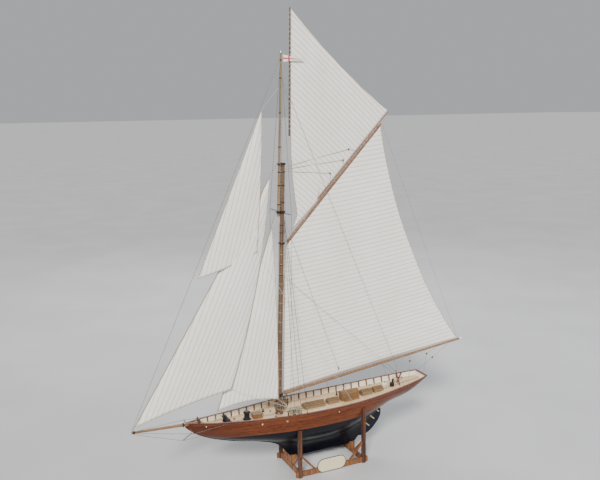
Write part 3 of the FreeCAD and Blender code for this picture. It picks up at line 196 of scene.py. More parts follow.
def sailcloth(name, width):
    """Woven cotton with pencilled seams; U of the UV map crosses the cloths."""
    n = Nodes(name)
    u, v, _ = n.split(n.coords.outputs["UV"])
    seam = n.lines(u, width)
    shade = n.noise(n.place(), 9.0, 3.0)
    mottle = n.noise(n.place((1, 1, 1)), 160.0, 3.0)
    warp = n.math("SINE", n.math("MULTIPLY", u, 92.0))
    weft = n.math("SINE", n.math("MULTIPLY", v, 92.0))
    weave = n.math("MULTIPLY", warp, weft)
    color = n.mix(n.span(shade, 0.3, 0.75), (0.86, 0.825, 0.76), (0.93, 0.905, 0.85))
    color = n.mix(n.span(mottle, 0.35, 0.8, 0.0, 0.3), color, (0.74, 0.70, 0.62))
    color = n.mix(n.math("MULTIPLY", seam, 0.78), color, (0.36, 0.29, 0.23))
    height = n.math("ADD", n.math("MULTIPLY", weave, 0.22), n.math("MULTIPLY", seam, 0.9))
    n.bump(height, 0.00018, 0.55)
    return n.finish(color, 0.88, sheen=0.25)


def plank_coordinate(n, pitch_mm, rise):
    """Counts planks up the topsides; rise follows the sheer's curve fore and aft."""
    x, _, z = n.split(n.coords.outputs["Object"])
    bow = n.math("MULTIPLY", n.math("MULTIPLY", x, x), rise)
    return n.math("MULTIPLY", n.math("SUBTRACT", z, bow), 1000.0 / pitch_mm)


def topsides_material():
    """Varnished mahogany planks outside, cream paint inside the bulwark."""
    n = Nodes("varnished_topsides")
    planks = plank_coordinate(n, 6.4, 0.10)
    seam = n.lines(planks, 0.05)
    x, y, _ = n.split(n.coords.outputs["Object"])
    tone = n.noise(n.place((6.0, 6.0, 160.0)), 1.0, 1.0)
    grain = n.noise(n.place((1.0, 9.0, 12.0)), 46.0, 5.0, 0.6, 0.5)
    color = n.mix(n.span(grain, 0.3, 0.72), (0.060, 0.014, 0.005), (0.155, 0.041, 0.014))
    color = n.mix(n.span(tone, 0.4, 0.65, 0.0, 0.4), color, (0.20, 0.060, 0.021))
    fore = n.span(x, -0.30, -0.12, 0.55, 0.0)
    color = n.mix(fore, color, (0.055, 0.012, 0.006))
    color = n.mix(n.math("MULTIPLY", seam, 0.4), color, (0.06, 0.015, 0.012))
    geometry = n.tree.nodes.new("ShaderNodeNewGeometry")
    ahead, side, _ = n.split(geometry.outputs["Normal"])
    inward = n.math("MULTIPLY", side, n.math("SIGN", y))
    transom = n.math("MULTIPLY", n.math("LESS_THAN", ahead, -0.35), n.math("GREATER_THAN", x, 0.15))
    inside = n.math("MAXIMUM", n.math("LESS_THAN", inward, -0.2), transom)
    lining = n.mix(n.span(grain, 0.3, 0.8), (0.72, 0.64, 0.50), (0.80, 0.74, 0.62))
    color = n.mix(inside, color, lining)
    height = n.math("ADD", n.math("MULTIPLY", seam, -1.0), n.math("MULTIPLY", grain, 0.25))
    n.bump(height, 0.00009, 0.5)
    return n.finish(color, n.span(grain, 0.2, 0.8, 0.36, 0.28), coat=0.14)


def deck_material():
    """Narrow laid planks with dark caulking and a king plank."""
    n = Nodes("laid_deck")
    x, y, _ = n.split(n.coords.outputs["Object"])
    across = n.math("MULTIPLY", y, 1000.0 / 3.6)
    seam = n.lines(n.math("ADD", across, 0.5), 0.11)
    plank = n.math("FLOOR", n.math("ADD", across, 0.5))
    shift = n.math("FRACT", n.math("MULTIPLY", plank, 0.381))
    butt = n.lines(n.math("ADD", n.math("MULTIPLY", x, 1000.0 / 96.0), shift), 0.006)
    grain = n.noise(n.place((1.0, 16.0, 1.0)), 80.0, 4.0, 0.6, 0.3)
    tone = n.math("FRACT", n.math("MULTIPLY", plank, 0.6180))
    color = n.mix(n.span(grain, 0.3, 0.7), (0.58, 0.41, 0.22), (0.80, 0.61, 0.37))
    color = n.mix(n.math("MULTIPLY", tone, 0.4), color, (0.60, 0.44, 0.28))
    king = n.math("LESS_THAN", n.math("ABSOLUTE", y), 0.0032)
    color = n.mix(n.math("MULTIPLY", king, 0.7), color, (0.30, 0.17, 0.10))
    marks = n.math("MAXIMUM", seam, butt)
    color = n.mix(n.math("MULTIPLY", marks, 0.75), color, (0.16, 0.10, 0.07))
    n.bump(n.math("SUBTRACT", n.math("MULTIPLY", grain, 0.3), marks), 0.00012, 0.7)
    return n.finish(color, 0.46, coat=0.12)


def skylight_material():
    n = Nodes("slatted_skylight")
    _, y, _ = n.split(n.coords.outputs["Object"])
    shaded_gaps = n.lines(n.math("MULTIPLY", y, 1000.0 / 3.4), 0.24)
    grain = n.noise(n.place((1.0, 9.0, 9.0)), 120.0, 4.0)
    color = n.mix(n.span(grain, 0.3, 0.7), (0.17, 0.105, 0.055), (0.28, 0.19, 0.10))
    # Painted shade: the gaps between the slats are darkened to stand for the shade inside them.
    color = n.mix(n.math("MULTIPLY", shaded_gaps, 0.9), color, (0.040, 0.022, 0.012))
    n.bump(n.math("SUBTRACT", grain, shaded_gaps), 0.0002, 0.6)
    return n.finish(color, 0.36, coat=0.3)


def flag_material():
    """A plain white pennant with a plain red cross arm at the hoist."""
    n = Nodes("pennant_cloth")
    u, v, _ = n.split(n.coords.outputs["UV"])
    warp = n.math("SINE", n.math("MULTIPLY", u, 420.0))
    weft = n.math("SINE", n.math("MULTIPLY", v, 420.0))
    weave = n.math("MULTIPLY", warp, weft)
    fibre = n.noise(n.place(), 500.0, 2.0)
    band = n.span(n.math("ABSOLUTE", n.math("SUBTRACT", v, 0.5)), 0.09, 0.12, 1.0, 0.0)
    upright = n.span(n.math("ABSOLUTE", n.math("SUBTRACT", u, 0.28)), 0.035, 0.05, 1.0, 0.0)
    cross = n.math("MAXIMUM", band, upright)
    color = n.mix(cross, (0.86, 0.84, 0.80), (0.50, 0.05, 0.05))
    color = n.mix(n.span(fibre, 0.4, 0.8, 0.0, 0.2), color, (0.6, 0.56, 0.52))
    n.bump(weave, 0.00012, 0.6)
    return n.finish(color, 0.85, sheen=0.2)


WOOD_STAND = wood("stand_wood", (0.30, 0.135, 0.055), (0.14, 0.055, 0.025), (1.0, 1.0, 0.07), 240.0, 0.45, 0.2)
WOOD_POST = wood("post_wood", (0.135, 0.058, 0.029), (0.055, 0.022, 0.013), (1.0, 1.0, 0.07), 240.0, 0.45, 0.15)
WOOD_HOUSE = wood("house_wood", (0.29, 0.165, 0.075), (0.14, 0.072, 0.034), (1.0, 10.0, 10.0), 110.0, 0.44, 0.15)
WOOD_RAIL = wood("rail_wood", (0.20, 0.075, 0.050), (0.085, 0.030, 0.022), (1.0, 12.0, 12.0), 90.0, 0.34, 0.4)
WOOD_SPAR = wood("spar_wood", (0.20, 0.11, 0.062), (0.10, 0.052, 0.028), (16.0, 16.0, 0.8), 60.0, 0.36, 0.3)
WOOD_TOPMAST = wood("topmast_wood", (0.33, 0.24, 0.13), (0.17, 0.11, 0.06), (16.0, 16.0, 0.8), 60.0, 0.36, 0.3)
WOOD_GAFF = wood("gaff_wood", (0.32, 0.17, 0.09), (0.15, 0.07, 0.04), (1.0, 14.0, 1.2), 70.0, 0.36, 0.3)
WOOD_BOOM = wood("boom_wood", (0.32, 0.19, 0.10), (0.17, 0.09, 0.045), (1.0, 14.0, 12.0), 70.0, 0.36, 0.3)
WOOD_PALE = wood("pale_wood", (0.62, 0.45, 0.27), (0.42, 0.27, 0.15), (1.0, 10.0, 10.0), 110.0, 0.44, 0.15)
WOOD_DARK = wood("dark_wood", (0.16, 0.09, 0.06), (0.06, 0.035, 0.025), (1.0, 10.0, 10.0), 120.0, 0.4, 0.2)
WOOD_PLY = wood("bare_plywood", (0.62, 0.48, 0.30), (0.45, 0.32, 0.19), (1.0, 1.0, 12.0), 60.0, 0.6, 0.0)
BLACK = paint("black_iron", (0.018, 0.018, 0.020), (0.10, 0.09, 0.085), 0.38, 0.15)
WHITE = paint("white_paint", (0.80, 0.78, 0.73), (0.58, 0.54, 0.47), 0.42, 0.1)
# Underbody: the lighter blue patches, spread wider here, are painted reflections of scattered light on the gloss.
UNDERBODY = paint("underbody_gloss", (0.003, 0.0035, 0.007), (0.007, 0.008, 0.013), 0.30, 0.16, wear_and_sheen_from=0.5)
RUDDER = paint("rudder_gloss", (0.005, 0.006, 0.018), (0.012, 0.015, 0.032), 0.30, 0.16)
CREAM = paint("plate_cream", (0.70, 0.61, 0.40), (0.52, 0.42, 0.25), 0.4, 0.25)
BRASS = paint("brass_fittings", (0.72, 0.56, 0.28), (0.42, 0.30, 0.14), 0.28, 0.0, 1.0)
SILVER = paint("polished_metal", (0.74, 0.74, 0.75), (0.45, 0.45, 0.46), 0.22, 0.0, 1.0)
LINE = thread("rigging_thread", (0.34, 0.31, 0.26), (0.12, 0.105, 0.09))
LINE_DARK = thread("tarred_thread", (0.20, 0.18, 0.165), (0.06, 0.055, 0.05))
LINE_TAN = thread("boltrope_thread", (0.58, 0.43, 0.27), (0.30, 0.20, 0.12), 700.0)
LINE_WHITE = thread("white_thread", (0.80, 0.78, 0.73), (0.46, 0.43, 0.39), 1100.0)
LINE_COIL = thread("mast_coil_thread", (0.34, 0.24, 0.14), (0.14, 0.09, 0.05), 700.0)
LINE_GREEN = thread("coil_thread", (0.42, 0.40, 0.24), (0.17, 0.15, 0.09), 1100.0)
CLOTH = sailcloth("sail_cloth", 0.085)
DECK = deck_material()
TOPSIDES = topsides_material()
SKYLIGHT = skylight_material()
FLAG = flag_material()

NODE_MATERIALS = {
    "stand_posts": WOOD_POST, "stand_rails": WOOD_STAND, "stand_keel_blocks": WOOD_STAND, "stand_braces": WOOD_STAND,
    "stand_bolts": BLACK, "name_plate": CREAM, "name_plate_border": WOOD_DARK,
    "hull_topsides": TOPSIDES, "hull_underbody": UNDERBODY, "deck": DECK,
    "backbone": WOOD_PLY, "bulkhead_frames": WOOD_PLY, "rail_cap": WOOD_RAIL, "bulwark_stanchions": WOOD_RAIL,
    "bowsprit_bitts": WOOD_DARK, "windlass_frame": BLACK, "windlass_barrel": BLACK,
    "capstan_base": BLACK, "capstan_drum": BLACK, "bollards_and_cleats": BLACK,
    "foredeck_hatch": WOOD_HOUSE, "deck_ventilators": BLACK, "mast_coat": WOOD_DARK, "pin_racks": WOOD_RAIL,
    "skylights": SKYLIGHT, "deckhouse": WOOD_HOUSE, "compass_stand": WHITE, "steering_pedestal": BLACK,
    "boom_crutch": WOOD_RAIL, "belaying_pins": WHITE, "mast_spider_band": BLACK,
    "lower_mast": WOOD_SPAR, "topmast": WOOD_TOPMAST, "mast_truck": SILVER, "spar_irons": BLACK,
    "bowsprit": WOOD_BOOM, "dolphin_striker": WOOD_DARK, "whisker_spreader": WOOD_DARK,
    "shrouds": LINE_DARK, "stays": LINE, "bowsprit_rigging": LINE_DARK, "main_rig_lines": LINE, "mainsheet": LINE,
    "shroud_deadeyes": WOOD_DARK, "main_rig_blocks": WOOD_DARK, "spar_jaws": BLACK,
    "rudder": RUDDER, "rudder_straps": BRASS, "sternpost_straps": BRASS, "steering_wheel": BRASS,
    "boom": WOOD_BOOM, "gaff": WOOD_GAFF, "topsail_yard": WOOD_DARK, "topsail_jackyard": WOOD_GAFF,
}
for node, material in NODE_MATERIALS.items():
    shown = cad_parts[node]
    shown.data.materials.clear()
    shown.data.materials.append(material)


# ---------------------------------------------------------------- mesh helpers

def new_object(name, vertices, faces, material, body, smooth=True):
    mesh = bpy.data.meshes.new(name)
    mesh.from_pydata([tuple(v) for v in vertices], [], faces)
    mesh.update()
    obj = bpy.data.objects.new(name, mesh)
    bpy.context.scene.collection.objects.link(obj)
    mesh.materials.append(material)
    if smooth:
        for polygon in mesh.polygons:
            polygon.use_smooth = True
    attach(obj, body)
    return obj


def tube_geometry(points, radius, sides=6, closed=False):
    """Vertices and faces of a tube along points."""
    vertices = []
    faces = []
    count = len(points)
    normal = None
    for i, point in enumerate(points):
        if closed:
            tangent = points[(i + 1) % count] - points[i - 1]
        else:
            tangent = points[min(i + 1, count - 1)] - points[max(i - 1, 0)]
        tangent.normalize()
        if normal is None:
            normal = tangent.orthogonal()
        normal = (normal - tangent * normal.dot(tangent)).normalized()
        side = tangent.cross(normal)
        r = radius(i / max(count - 1, 1)) if callable(radius) else radius
        for k in range(sides):
            angle = 2.0 * math.pi * k / sides
            vertices.append(point + (normal * math.cos(angle) + side * math.sin(angle)) * r)
    for i in range(count if closed else count - 1):
        j = (i + 1) % count
        for k in range(sides):
            m = (k + 1) % sides
            faces.append((i * sides + k, i * sides + m, j * sides + m, j * sides + k))
    if not closed:
        faces.append(tuple(reversed(range(sides))))
        faces.append(tuple(range((count - 1) * sides, count * sides)))
    return vertices, faces


def tubes(name, runs, radius, material, body, sides=6, closed=False):
    """Several tubes as one piece."""
    vertices = []
    faces = []
    for points in runs:
        v, f = tube_geometry(points, radius, sides, closed)
        base = len(vertices)
        vertices += v
        faces += [tuple(i + base for i in face) for face in f]
    return new_object(name, vertices, faces, material, body)


def ring_points(centre, axis, radius, count=20, wobble=0.0):
    axis = axis.normalized()
    first = axis.orthogonal().normalized()
    second = axis.cross(first)
    points = []
    for i in range(count):
        angle = 2.0 * math.pi * i / count
        r = radius * (1.0 + wobble * math.sin(3.0 * angle + 1.0))
        points.append(centre + (first * math.cos(angle) + second * math.sin(angle)) * r)
    return points


# ---------------------------------------------------------------- sails

def arc_point(start, end, bulge, t):
    """A point of an edge that stands out by bulge, as (x, z)."""
    dx, dz = end[0] - start[0], end[1] - start[1]
    length = math.hypot(dx, dz)
    out = (-dz / length, dx / length)
    lift = 4.0 * t * (1.0 - t) * bulge
    return (start[0] + dx * t + out[0] * lift, start[1] + dz * t + out[1] * lift)


def path_point(points, t):
    """A point on a polyline of (x, z), at t of its length."""
    lengths = [math.hypot(b[0] - a[0], b[1] - a[1]) for a, b in zip(points, points[1:])]
    run = t * sum(lengths)
    for (a, b), length in zip(zip(points, points[1:]), lengths):
        if run <= length or b is points[-1]:
            s = min(run / length, 1.0)
            return (lerp(a[0], b[0], s), lerp(a[1], b[1], s))
        run -= length
    return points[-1]


# Corners and edge bulges as in the CAD: luff foot (tack), clew, and head or peak.
SAILS = {
    "jib": dict(tack=(-423.5, 168.0), clew=(-218.5, 215.0), head=(-117.5, 655.0), leech=14.0, foot=-6.0,
                swing=3.5, belly=9.0, seam=(0.46, 1.0), pitch=9.6, columns=44, rows=84),
    "staysail": dict(tack=(-246.0, 169.0), clew=(-111.0, 173.0), head=(-114.5, 552.0), leech=4.0, foot=-10.0,
                     swing=5.0, belly=5.0, seam=(0.24, 1.0), pitch=9.6, columns=36, rows=76),
    "jib_topsail": dict(tack=(-279.0, 461.0), clew=(-153.0, 505.0), head=(-132.0, 795.0), leech=3.0, foot=3.0,
                        swing=6.0, belly=5.0, seam=(0.30, 1.0), pitch=9.0, columns=36, rows=70),
}


def swing_out(x, z, y, tack, head, degrees):
    """Turns a point of a headsail to port about its luff."""
    axis = mm(head[0], 0, head[1]) - mm(tack[0], 0, tack[1])
    base = mm(tack[0], 0, tack[1])
    turn = Matrix.Rotation(-math.radians(degrees), 3, axis.normalized())
    return base + turn @ (mm(x, y, z) - base)


def sail_mesh(name, surface, columns, rows, seam, pitch, body, node):
    """A grid of cloth from surface(u, v) -> (point, flat x, flat z), with UVs across the seams."""
    length = math.hypot(*seam)
    along = (seam[0] / length, seam[1] / length)
    vertices, flat = [], []
    for j in range(rows + 1):
        for i in range(columns + 1):
            point, x, z = surface(i / columns, j / rows)
            vertices.append(point)
            flat.append((x, z))
    faces = []
    for j in range(rows):
        for i in range(columns):
            a = j * (columns + 1) + i
            faces.append((a, a + 1, a + columns + 2, a + columns + 1))
    obj = new_object(name, vertices, faces, CLOTH, body)
    layer = obj.data.uv_layers.new(name="cloths")
    for loop in obj.data.loops:
        x, z = flat[loop.vertex_index]
        across = (x * along[1] - z * along[0]) / pitch
        layer.data[loop.index].uv = (across, (x * along[0] + z * along[1]) / pitch)
    weld = obj.modifiers.new("weld", "WELD")
    weld.merge_threshold = 0.0002
    solid = obj.modifiers.new("thickness", "SOLIDIFY")
    solid.thickness = 0.0005
    solid.offset = 0.0
    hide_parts(node)
    return obj


def creases(x, z, scale, amount):
    """Small soft undulations that run mostly up the sail."""
    value = noise.noise(Vector((x * 0.030 * scale, z * 0.0075 * scale, 3.1)))
    value += 0.5 * noise.noise(Vector((x * 0.075 * scale, z * 0.020 * scale, 8.7)))
    return amount * value


def triangle_surface(s):
    tack, clew, head = s["tack"], s["clew"], s["head"]

    def surface(u, v):
        luff = (lerp(tack[0], head[0], v), lerp(tack[1], head[1], v))
        leech = arc_point(head, clew, s["leech"], 1.0 - v)
        foot = arc_point(clew, tack, s["foot"], 1.0 - u)
        chord = (lerp(tack[0], clew[0], u), lerp(tack[1], clew[1], u))
        x = lerp(luff[0], leech[0], u) + (foot[0] - chord[0]) * (1.0 - v)
        z = lerp(luff[1], leech[1], u) + (foot[1] - chord[1]) * (1.0 - v)
        camber = 4.0 * (u ** 0.8) * (1.0 - u ** 1.25) * math.sin(math.pi * min(0.12 + 0.88 * v, 1.0)) ** 0.7
        edge = min(1.0, 6.0 * u)
        y = -s["belly"] * camber + creases(x, z, 1.0, 0.8) * edge
        return swing_out(x, z, y, tack, head, s["swing"]), x, z

    return surface


def add_boltrope(name, surface, body, corners, radius=0.00065):
    """The rope sewn round the sail's edge."""
    points = []
    for (u0, v0), (u1, v1) in zip(corners, corners[1:]):
        steps = 40
        for i in range(steps):
            place = surface(lerp(u0, u1, i / steps), lerp(v0, v1, i / steps))[0]
            if not points or (place - points[-1]).length > 0.00005:
                points.append(place)
    return tubes(name, [points], radius, LINE_TAN, body, 6, True)


def outline_of(surface, corners, steps=30):
    points = []
    for (u0, v0), (u1, v1) in zip(corners, corners[1:] + corners[:1]):
        for i in range(steps):
            _, x, z = surface(lerp(u0, u1, i / steps), lerp(v0, v1, i / steps))
            points.append((x, z))
    return points


TRIANGLE = [(0.0, 0.0), (1.0, 0.0), (1.0, 1.0), (0.0, 1.0)]


def hanks(name, surface, count, body, first=0.03, last=0.97):
    """Small rings that hold a luff to its stay."""
    runs = []
    for i in range(count):
        v = lerp(first, last, i / (count - 1))
        point = surface(0.0, v)[0]
        nearby = surface(0.0, min(v + 0.01, 1.0))[0] - point
        runs.append(ring_points(point + Vector((-0.0009, 0, 0)), nearby, 0.0014, 10))
    return tubes(name, runs, 0.00022, BRASS, body, 5, True)


for key, s in SAILS.items():
    surface = triangle_surface(s)
    cloth = sail_mesh("cloth_" + key, surface, s["columns"], s["rows"], s["seam"], s["pitch"], "ship", key)
    rope = add_boltrope("boltrope_" + key, surface, "ship", TRIANGLE + TRIANGLE[:1])
    rings = hanks("hanks_" + key, surface, 16, "ship")
    outline_of(surface, TRIANGLE)

# Mainsail: four-sided, laced to boom and gaff and held to the mast by hoops.
MAIN_TACK, MAIN_CLEW = (-94.0, 185.3), (374.0, 237.2)
MAIN_THROAT, MAIN_PEAK = (-84.0, 508.4), (151.0, 757.3)
MAIN_LEECH, MAIN_FOOT, MAIN_BELLY = -33.0, -4.0, 7.0


def main_surface(u, v):
    luff = (lerp(MAIN_TACK[0], MAIN_THROAT[0], v), lerp(MAIN_TACK[1], MAIN_THROAT[1], v))
    leech = arc_point(MAIN_PEAK, MAIN_CLEW, MAIN_LEECH, 1.0 - v)
    foot = arc_point(MAIN_CLEW, MAIN_TACK, MAIN_FOOT, 1.0 - u)
    head = (lerp(MAIN_THROAT[0], MAIN_PEAK[0], u), lerp(MAIN_THROAT[1], MAIN_PEAK[1], u))
    low = (lerp(MAIN_TACK[0], MAIN_CLEW[0], u), lerp(MAIN_TACK[1], MAIN_CLEW[1], u))
    x = (lerp(luff[0], leech[0], u) + lerp(foot[0], head[0], v)
         - lerp(lerp(MAIN_TACK[0], MAIN_CLEW[0], u), lerp(MAIN_THROAT[0], MAIN_PEAK[0], u), v))
    z = (lerp(luff[1], leech[1], u) + lerp(foot[1], head[1], v)
         - lerp(low[1], head[1], v))
    rim = min(1.0, 10.0 * u) * min(1.0, 12.0 * v) * min(1.0, 12.0 * (1.0 - v))
    camber = (4.0 * u * (1.0 - u)) ** 0.8 * math.sin(math.pi * v) ** 0.6
    clew_pull = 1.1 * math.sin(0.16 * (x * 0.35 + z)) * math.exp(-((1.0 - u) ** 2 * 18.0 + v * v * 14.0))
    leech_curl = 2.2 * math.sin(9.0 * v + 0.6) * max(0.0, u - 0.82) / 0.18 * 0.5
    y = -MAIN_BELLY * camber + (creases(x, z, 0.9, 1.1) + clew_pull) * rim + leech_curl * rim
    return mm(x, y, z), x, z


SQUARE = [(0.0, 0.0), (1.0, 0.0), (1.0, 1.0), (0.0, 1.0)]
main_cloth = sail_mesh("cloth_mainsail", main_surface, 110, 110, (1.0, 0.1146), 9.8, "main_rig", "mainsail")
main_rope = add_boltrope("boltrope_mainsail", main_surface, "main_rig", SQUARE + SQUARE[:1], 0.0007)
outline_of(main_surface, SQUARE)

# Topsail: set between its yard, the masthead and the jackyard above the gaff.
TOP_HEAD, TOP_CLEW = (-62.5, 997.0), (169.0, 791.0)
TOP_FOOT = [(-68.0, 545.0), (-8.0, 600.5), (-6.5, 608.0), (169.0, 791.0)]
TOP_LUFF = [(-68.0, 545.0), (-54.0, 574.0), (-59.5, 610.0), (-64.5, 655.0), (-67.0, 700.0), (-67.0, 742.0),
            (-62.5, 997.0)]


def top_surface(u, v):
    luff = path_point(TOP_LUFF, v)
    leech = arc_point(TOP_HEAD, TOP_CLEW, -8.0, 1.0 - v)
    foot = path_point(TOP_FOOT, u)
    x = lerp(luff[0], leech[0], u) + (foot[0] - lerp(TOP_FOOT[0][0], TOP_CLEW[0], u)) * (1.0 - v)
    z = lerp(luff[1], leech[1], u) + (foot[1] - lerp(TOP_FOOT[0][1], TOP_CLEW[1], u)) * (1.0 - v)
    rim = min(1.0, 8.0 * u) * min(1.0, 8.0 * v) * min(1.0, 8.0 * (1.0 - v))
    camber = (4.0 * u * (1.0 - u)) ** 0.8 * math.sin(math.pi * v) ** 0.6
    y = -5.0 * camber + creases(x, z, 1.2, 0.9) * rim
    return mm(x, y, z), x, z


top_cloth = sail_mesh("cloth_topsail", top_surface, 70, 90, (231.5, -206.0), 9.4, "main_rig", "topsail")
top_rope = add_boltrope("boltrope_topsail", top_surface, "main_rig", TRIANGLE + TRIANGLE[:1])
outline_of(top_surface, TRIANGLE)

# Pennant at the topmast head.
BURGEE_HOIST_TOP, BURGEE_TIP, BURGEE_HOIST_LOW = (-82.0, 907.0), (-37.0, 897.0), (-82.0, 892.0)


def burgee_surface(u, v):
    x = lerp(BURGEE_HOIST_TOP[0], BURGEE_TIP[0], u)
    low = lerp(BURGEE_HOIST_LOW[1], BURGEE_TIP[1] - 0.5, u)
    high = lerp(BURGEE_HOIST_TOP[1], BURGEE_TIP[1] + 0.5, u)
    z = lerp(low, high, v)
    ripple = 1.6 * math.sin(7.0 * u) * u
    turn = math.radians(16.0)
    reach = x - BURGEE_HOIST_TOP[0]
    px = BURGEE_HOIST_TOP[0] + reach * math.cos(turn) - ripple * math.sin(turn)
    py = -reach * math.sin(turn) + ripple
    return mm(px, py, z), u, v


burgee = sail_mesh("cloth_burgee", burgee_surface, 24, 8, (1.0, 0.0), 1.0, "ship", "burgee")
burgee.data.materials.clear()
burgee.data.materials.append(FLAG)
for loop in burgee.data.loops:
    row, column = divmod(loop.vertex_index, 25)
    burgee.data.uv_layers[0].data[loop.index].uv = (column / 24.0, row / 8.0)

# ---------------------------------------------------------------- masts, spars and lines

MAST_TAN = math.tan(math.radians(2.0))


def mast_at(z, aft=0.0, side=0.0):
    """A point on the raked lower mast's axis, in drawing millimetres."""
    return (-105.5 + (z - 136.0) * MAST_TAN + aft, side, z)


def mast_radius(z):
    return lerp(6.0, 4.4, (z - 136.0) / 552.0)


def topmast_at(z, aft=0.0, side=0.0):
    return mast_at(z, aft - 8.2, side)


def topmast_radius(z):
    return lerp(3.4, 1.9, (z - 584.0) / 327.0)


MAST_AXIS = Vector((MAST_TAN, 0.0, 1.0)).normalized()


def sagging(start, end, sag, steps=14):
    """A slack line between two points."""
    points = []
    for i in range(steps + 1):
        t = i / steps
        points.append(start.lerp(end, t) - Vector((0, 0, 4.0 * t * (1.0 - t) * sag)))
    return points


def helix(start, end, radius, turns, steps_per_turn=10):
    """A spiral lacing along a spar; radius is a number or a function of t."""
    axis = (end - start).normalized()
    first = axis.orthogonal().normalized()
    second = axis.cross(first)
    count = int(turns * steps_per_turn)
    points = []
    for i in range(count + 1):
        t = i / count
        angle = 2.0 * math.pi * turns * t
        reach = radius(t) if callable(radius) else radius
        points.append(start.lerp(end, t) + (first * math.cos(angle) + second * math.sin(angle)) * reach)
    return points


def build_hoops_and_bands():
    hoops = []
    for i in range(15):
        z = 196.0 + i * 21.2
        hoops.append(ring_points(mm(*mast_at(z)), MAST_AXIS + Vector((0.12, 0, 0)), (mast_radius(z) + 0.9) / 1000.0, 24))
    tubes("mast_hoops", hoops, 0.0005, WOOD_PALE, "main_rig", 6, True)
    bands = []
    for z in (176.0, 300.0, 448.0, 470.0, 540.0, 556.0, 604.0, 640.0, 668.0):
        for dz in (-0.8, 0.0, 0.8):
            bands.append(ring_points(mm(*mast_at(z + dz)), MAST_AXIS, (mast_radius(z) + 0.02) / 1000.0, 24))
    for z in (600.0, 640.0, 668.0, 720.0, 790.0, 860.0, 896.0):
        for dz in (-0.7, 0.0, 0.7):
            bands.append(ring_points(mm(*topmast_at(z + dz)), MAST_AXIS, (topmast_radius(z) + 0.02) / 1000.0, 20))
    tubes("mast_bands", bands, 0.0005, BLACK, "ship", 6, True)


def build_lacing():
    """Head, foot and yard lacings, as spirals round their spars."""
    runs = [
        ("gaff_lacing", (-72.0, 0, 526.5), (150.0, 0, 760.4), lambda t: lerp(3.55, 2.5, t) / 1000.0, 30, LINE_TAN),
        ("boom_lacing", (-80.0, 0, 181.9), (374.0, 0, 233.9), lambda t: lerp(4.5, 2.9, t) / 1000.0, 46, LINE_TAN),
        ("yard_lacing", (-70.3, 0, 752.0), (-65.1, 0, 994.0), lambda t: lerp(2.3, 1.7, t) / 1000.0, 26, LINE_WHITE),
        ("jackyard_lacing", (0.0, 0, 610.7), (166.0, 0, 783.8), lambda t: lerp(2.0, 1.6, t) / 1000.0, 26, LINE_TAN),
    ]
    for name, start, end, radius, turns, material in runs:
        points = helix(mm(*start), mm(*end), radius, turns)
        tubes(name, [points], 0.00032, material, "main_rig", 5)


def build_halyards():
    """Falls that lead down beside the masts, and the gear at the sails' corners."""
    falls = []
    for i in range(9):
        angle = math.radians(-150.0 + 37.0 * i)
        high = 560.0 if i % 3 else 676.0
        top_r = mast_radius(high) + 1.6 + 1.2 * (i % 2)
        low_r = 8.2 + 0.6 * (i % 2)
        top = mm(*mast_at(high, top_r * math.cos(angle), top_r * math.sin(angle)))
        low = mm(*mast_at(161.0, low_r * math.cos(angle), low_r * math.sin(angle)))
        falls.append([top.lerp(low, k / 12.0) for k in range(13)])
    tubes("halyard_falls", falls, 0.00026, LINE, "ship", 5)
    upper = []
    for i in range(5):
        angle = math.radians(-140.0 + 50.0 * i)
        reach = 3.4 + 0.5 * i
        top = mm(*topmast_at(880.0 - 14.0 * i, 0.9 * reach * math.cos(angle), 0.9 * reach * math.sin(angle)))
        low = mm(*mast_at(592.0, -8.0 + 6.5 * math.cos(angle), 6.5 * math.sin(angle)))
        upper.append([top.lerp(low, k / 12.0) for k in range(13)])
    tubes("topmast_falls", upper, 0.00022, LINE, "ship", 5)
    ends = [
        (mm(-117.5, 0, 656.0), mm(*mast_at(684.0, -9.0)), 0.0),
        (mm(-114.5, 0, 553.0), mm(*mast_at(578.0, -6.4)), 0.0),
        (mm(-132.0, 0, 796.0), mm(*topmast_at(842.0, -3.6)), 0.0),
        (mm(-423.5, 0, 168.0), mm(-428.0, 0, 160.0), 0.0),
        (mm(-246.0, 0, 169.0), mm(-256.0, 0, 144.0), 0.0),
        (mm(-279.0, 0, 461.0), mm(-407.0, 0, 162.0), 0.0),
        (mm(*JIB_CLEW), mm(-66.0, -50.5, 152.0), 0.003),
        (mm(*JIB_CLEW), mm(-66.0, 50.5, 152.0), 0.004),
        (mm(*STAYSAIL_CLEW), mm(-88.0, -33.0, 157.0), 0.001),
        (mm(*TOPSAIL_JIB_CLEW), mm(52.0, -54.5, 151.5), 0.004),
    ]
    runs = [sagging(start, end, sag) for start, end, sag in ends]
    tubes("headsail_gear", runs, 0.00028, LINE_WHITE, "ship", 5)


def coil(centre, out, drop, width, loops, radius, tilt=0.0):
    """A hank of line that hangs from a pin: a few drooping loops."""
    side = Vector((0, 0, 1)).cross(out).normalized()
    points = []
    steps = 26
    for i in range(loops * steps + 1):
        angle = 2.0 * math.pi * i / steps
        turn = i / steps
        wobble = 1.0 + 0.08 * math.sin(1.7 * turn + 2.0 * centre.x * 300.0)
        x = math.sin(angle) * width * wobble
        z = -drop * 0.5 * (1.0 - math.cos(angle)) * wobble
        stand_off = radius * 1.6 * (turn - loops * 0.5) + tilt * z
        points.append(centre + side * x + Vector((0, 0, z)) + out * stand_off)
    return points


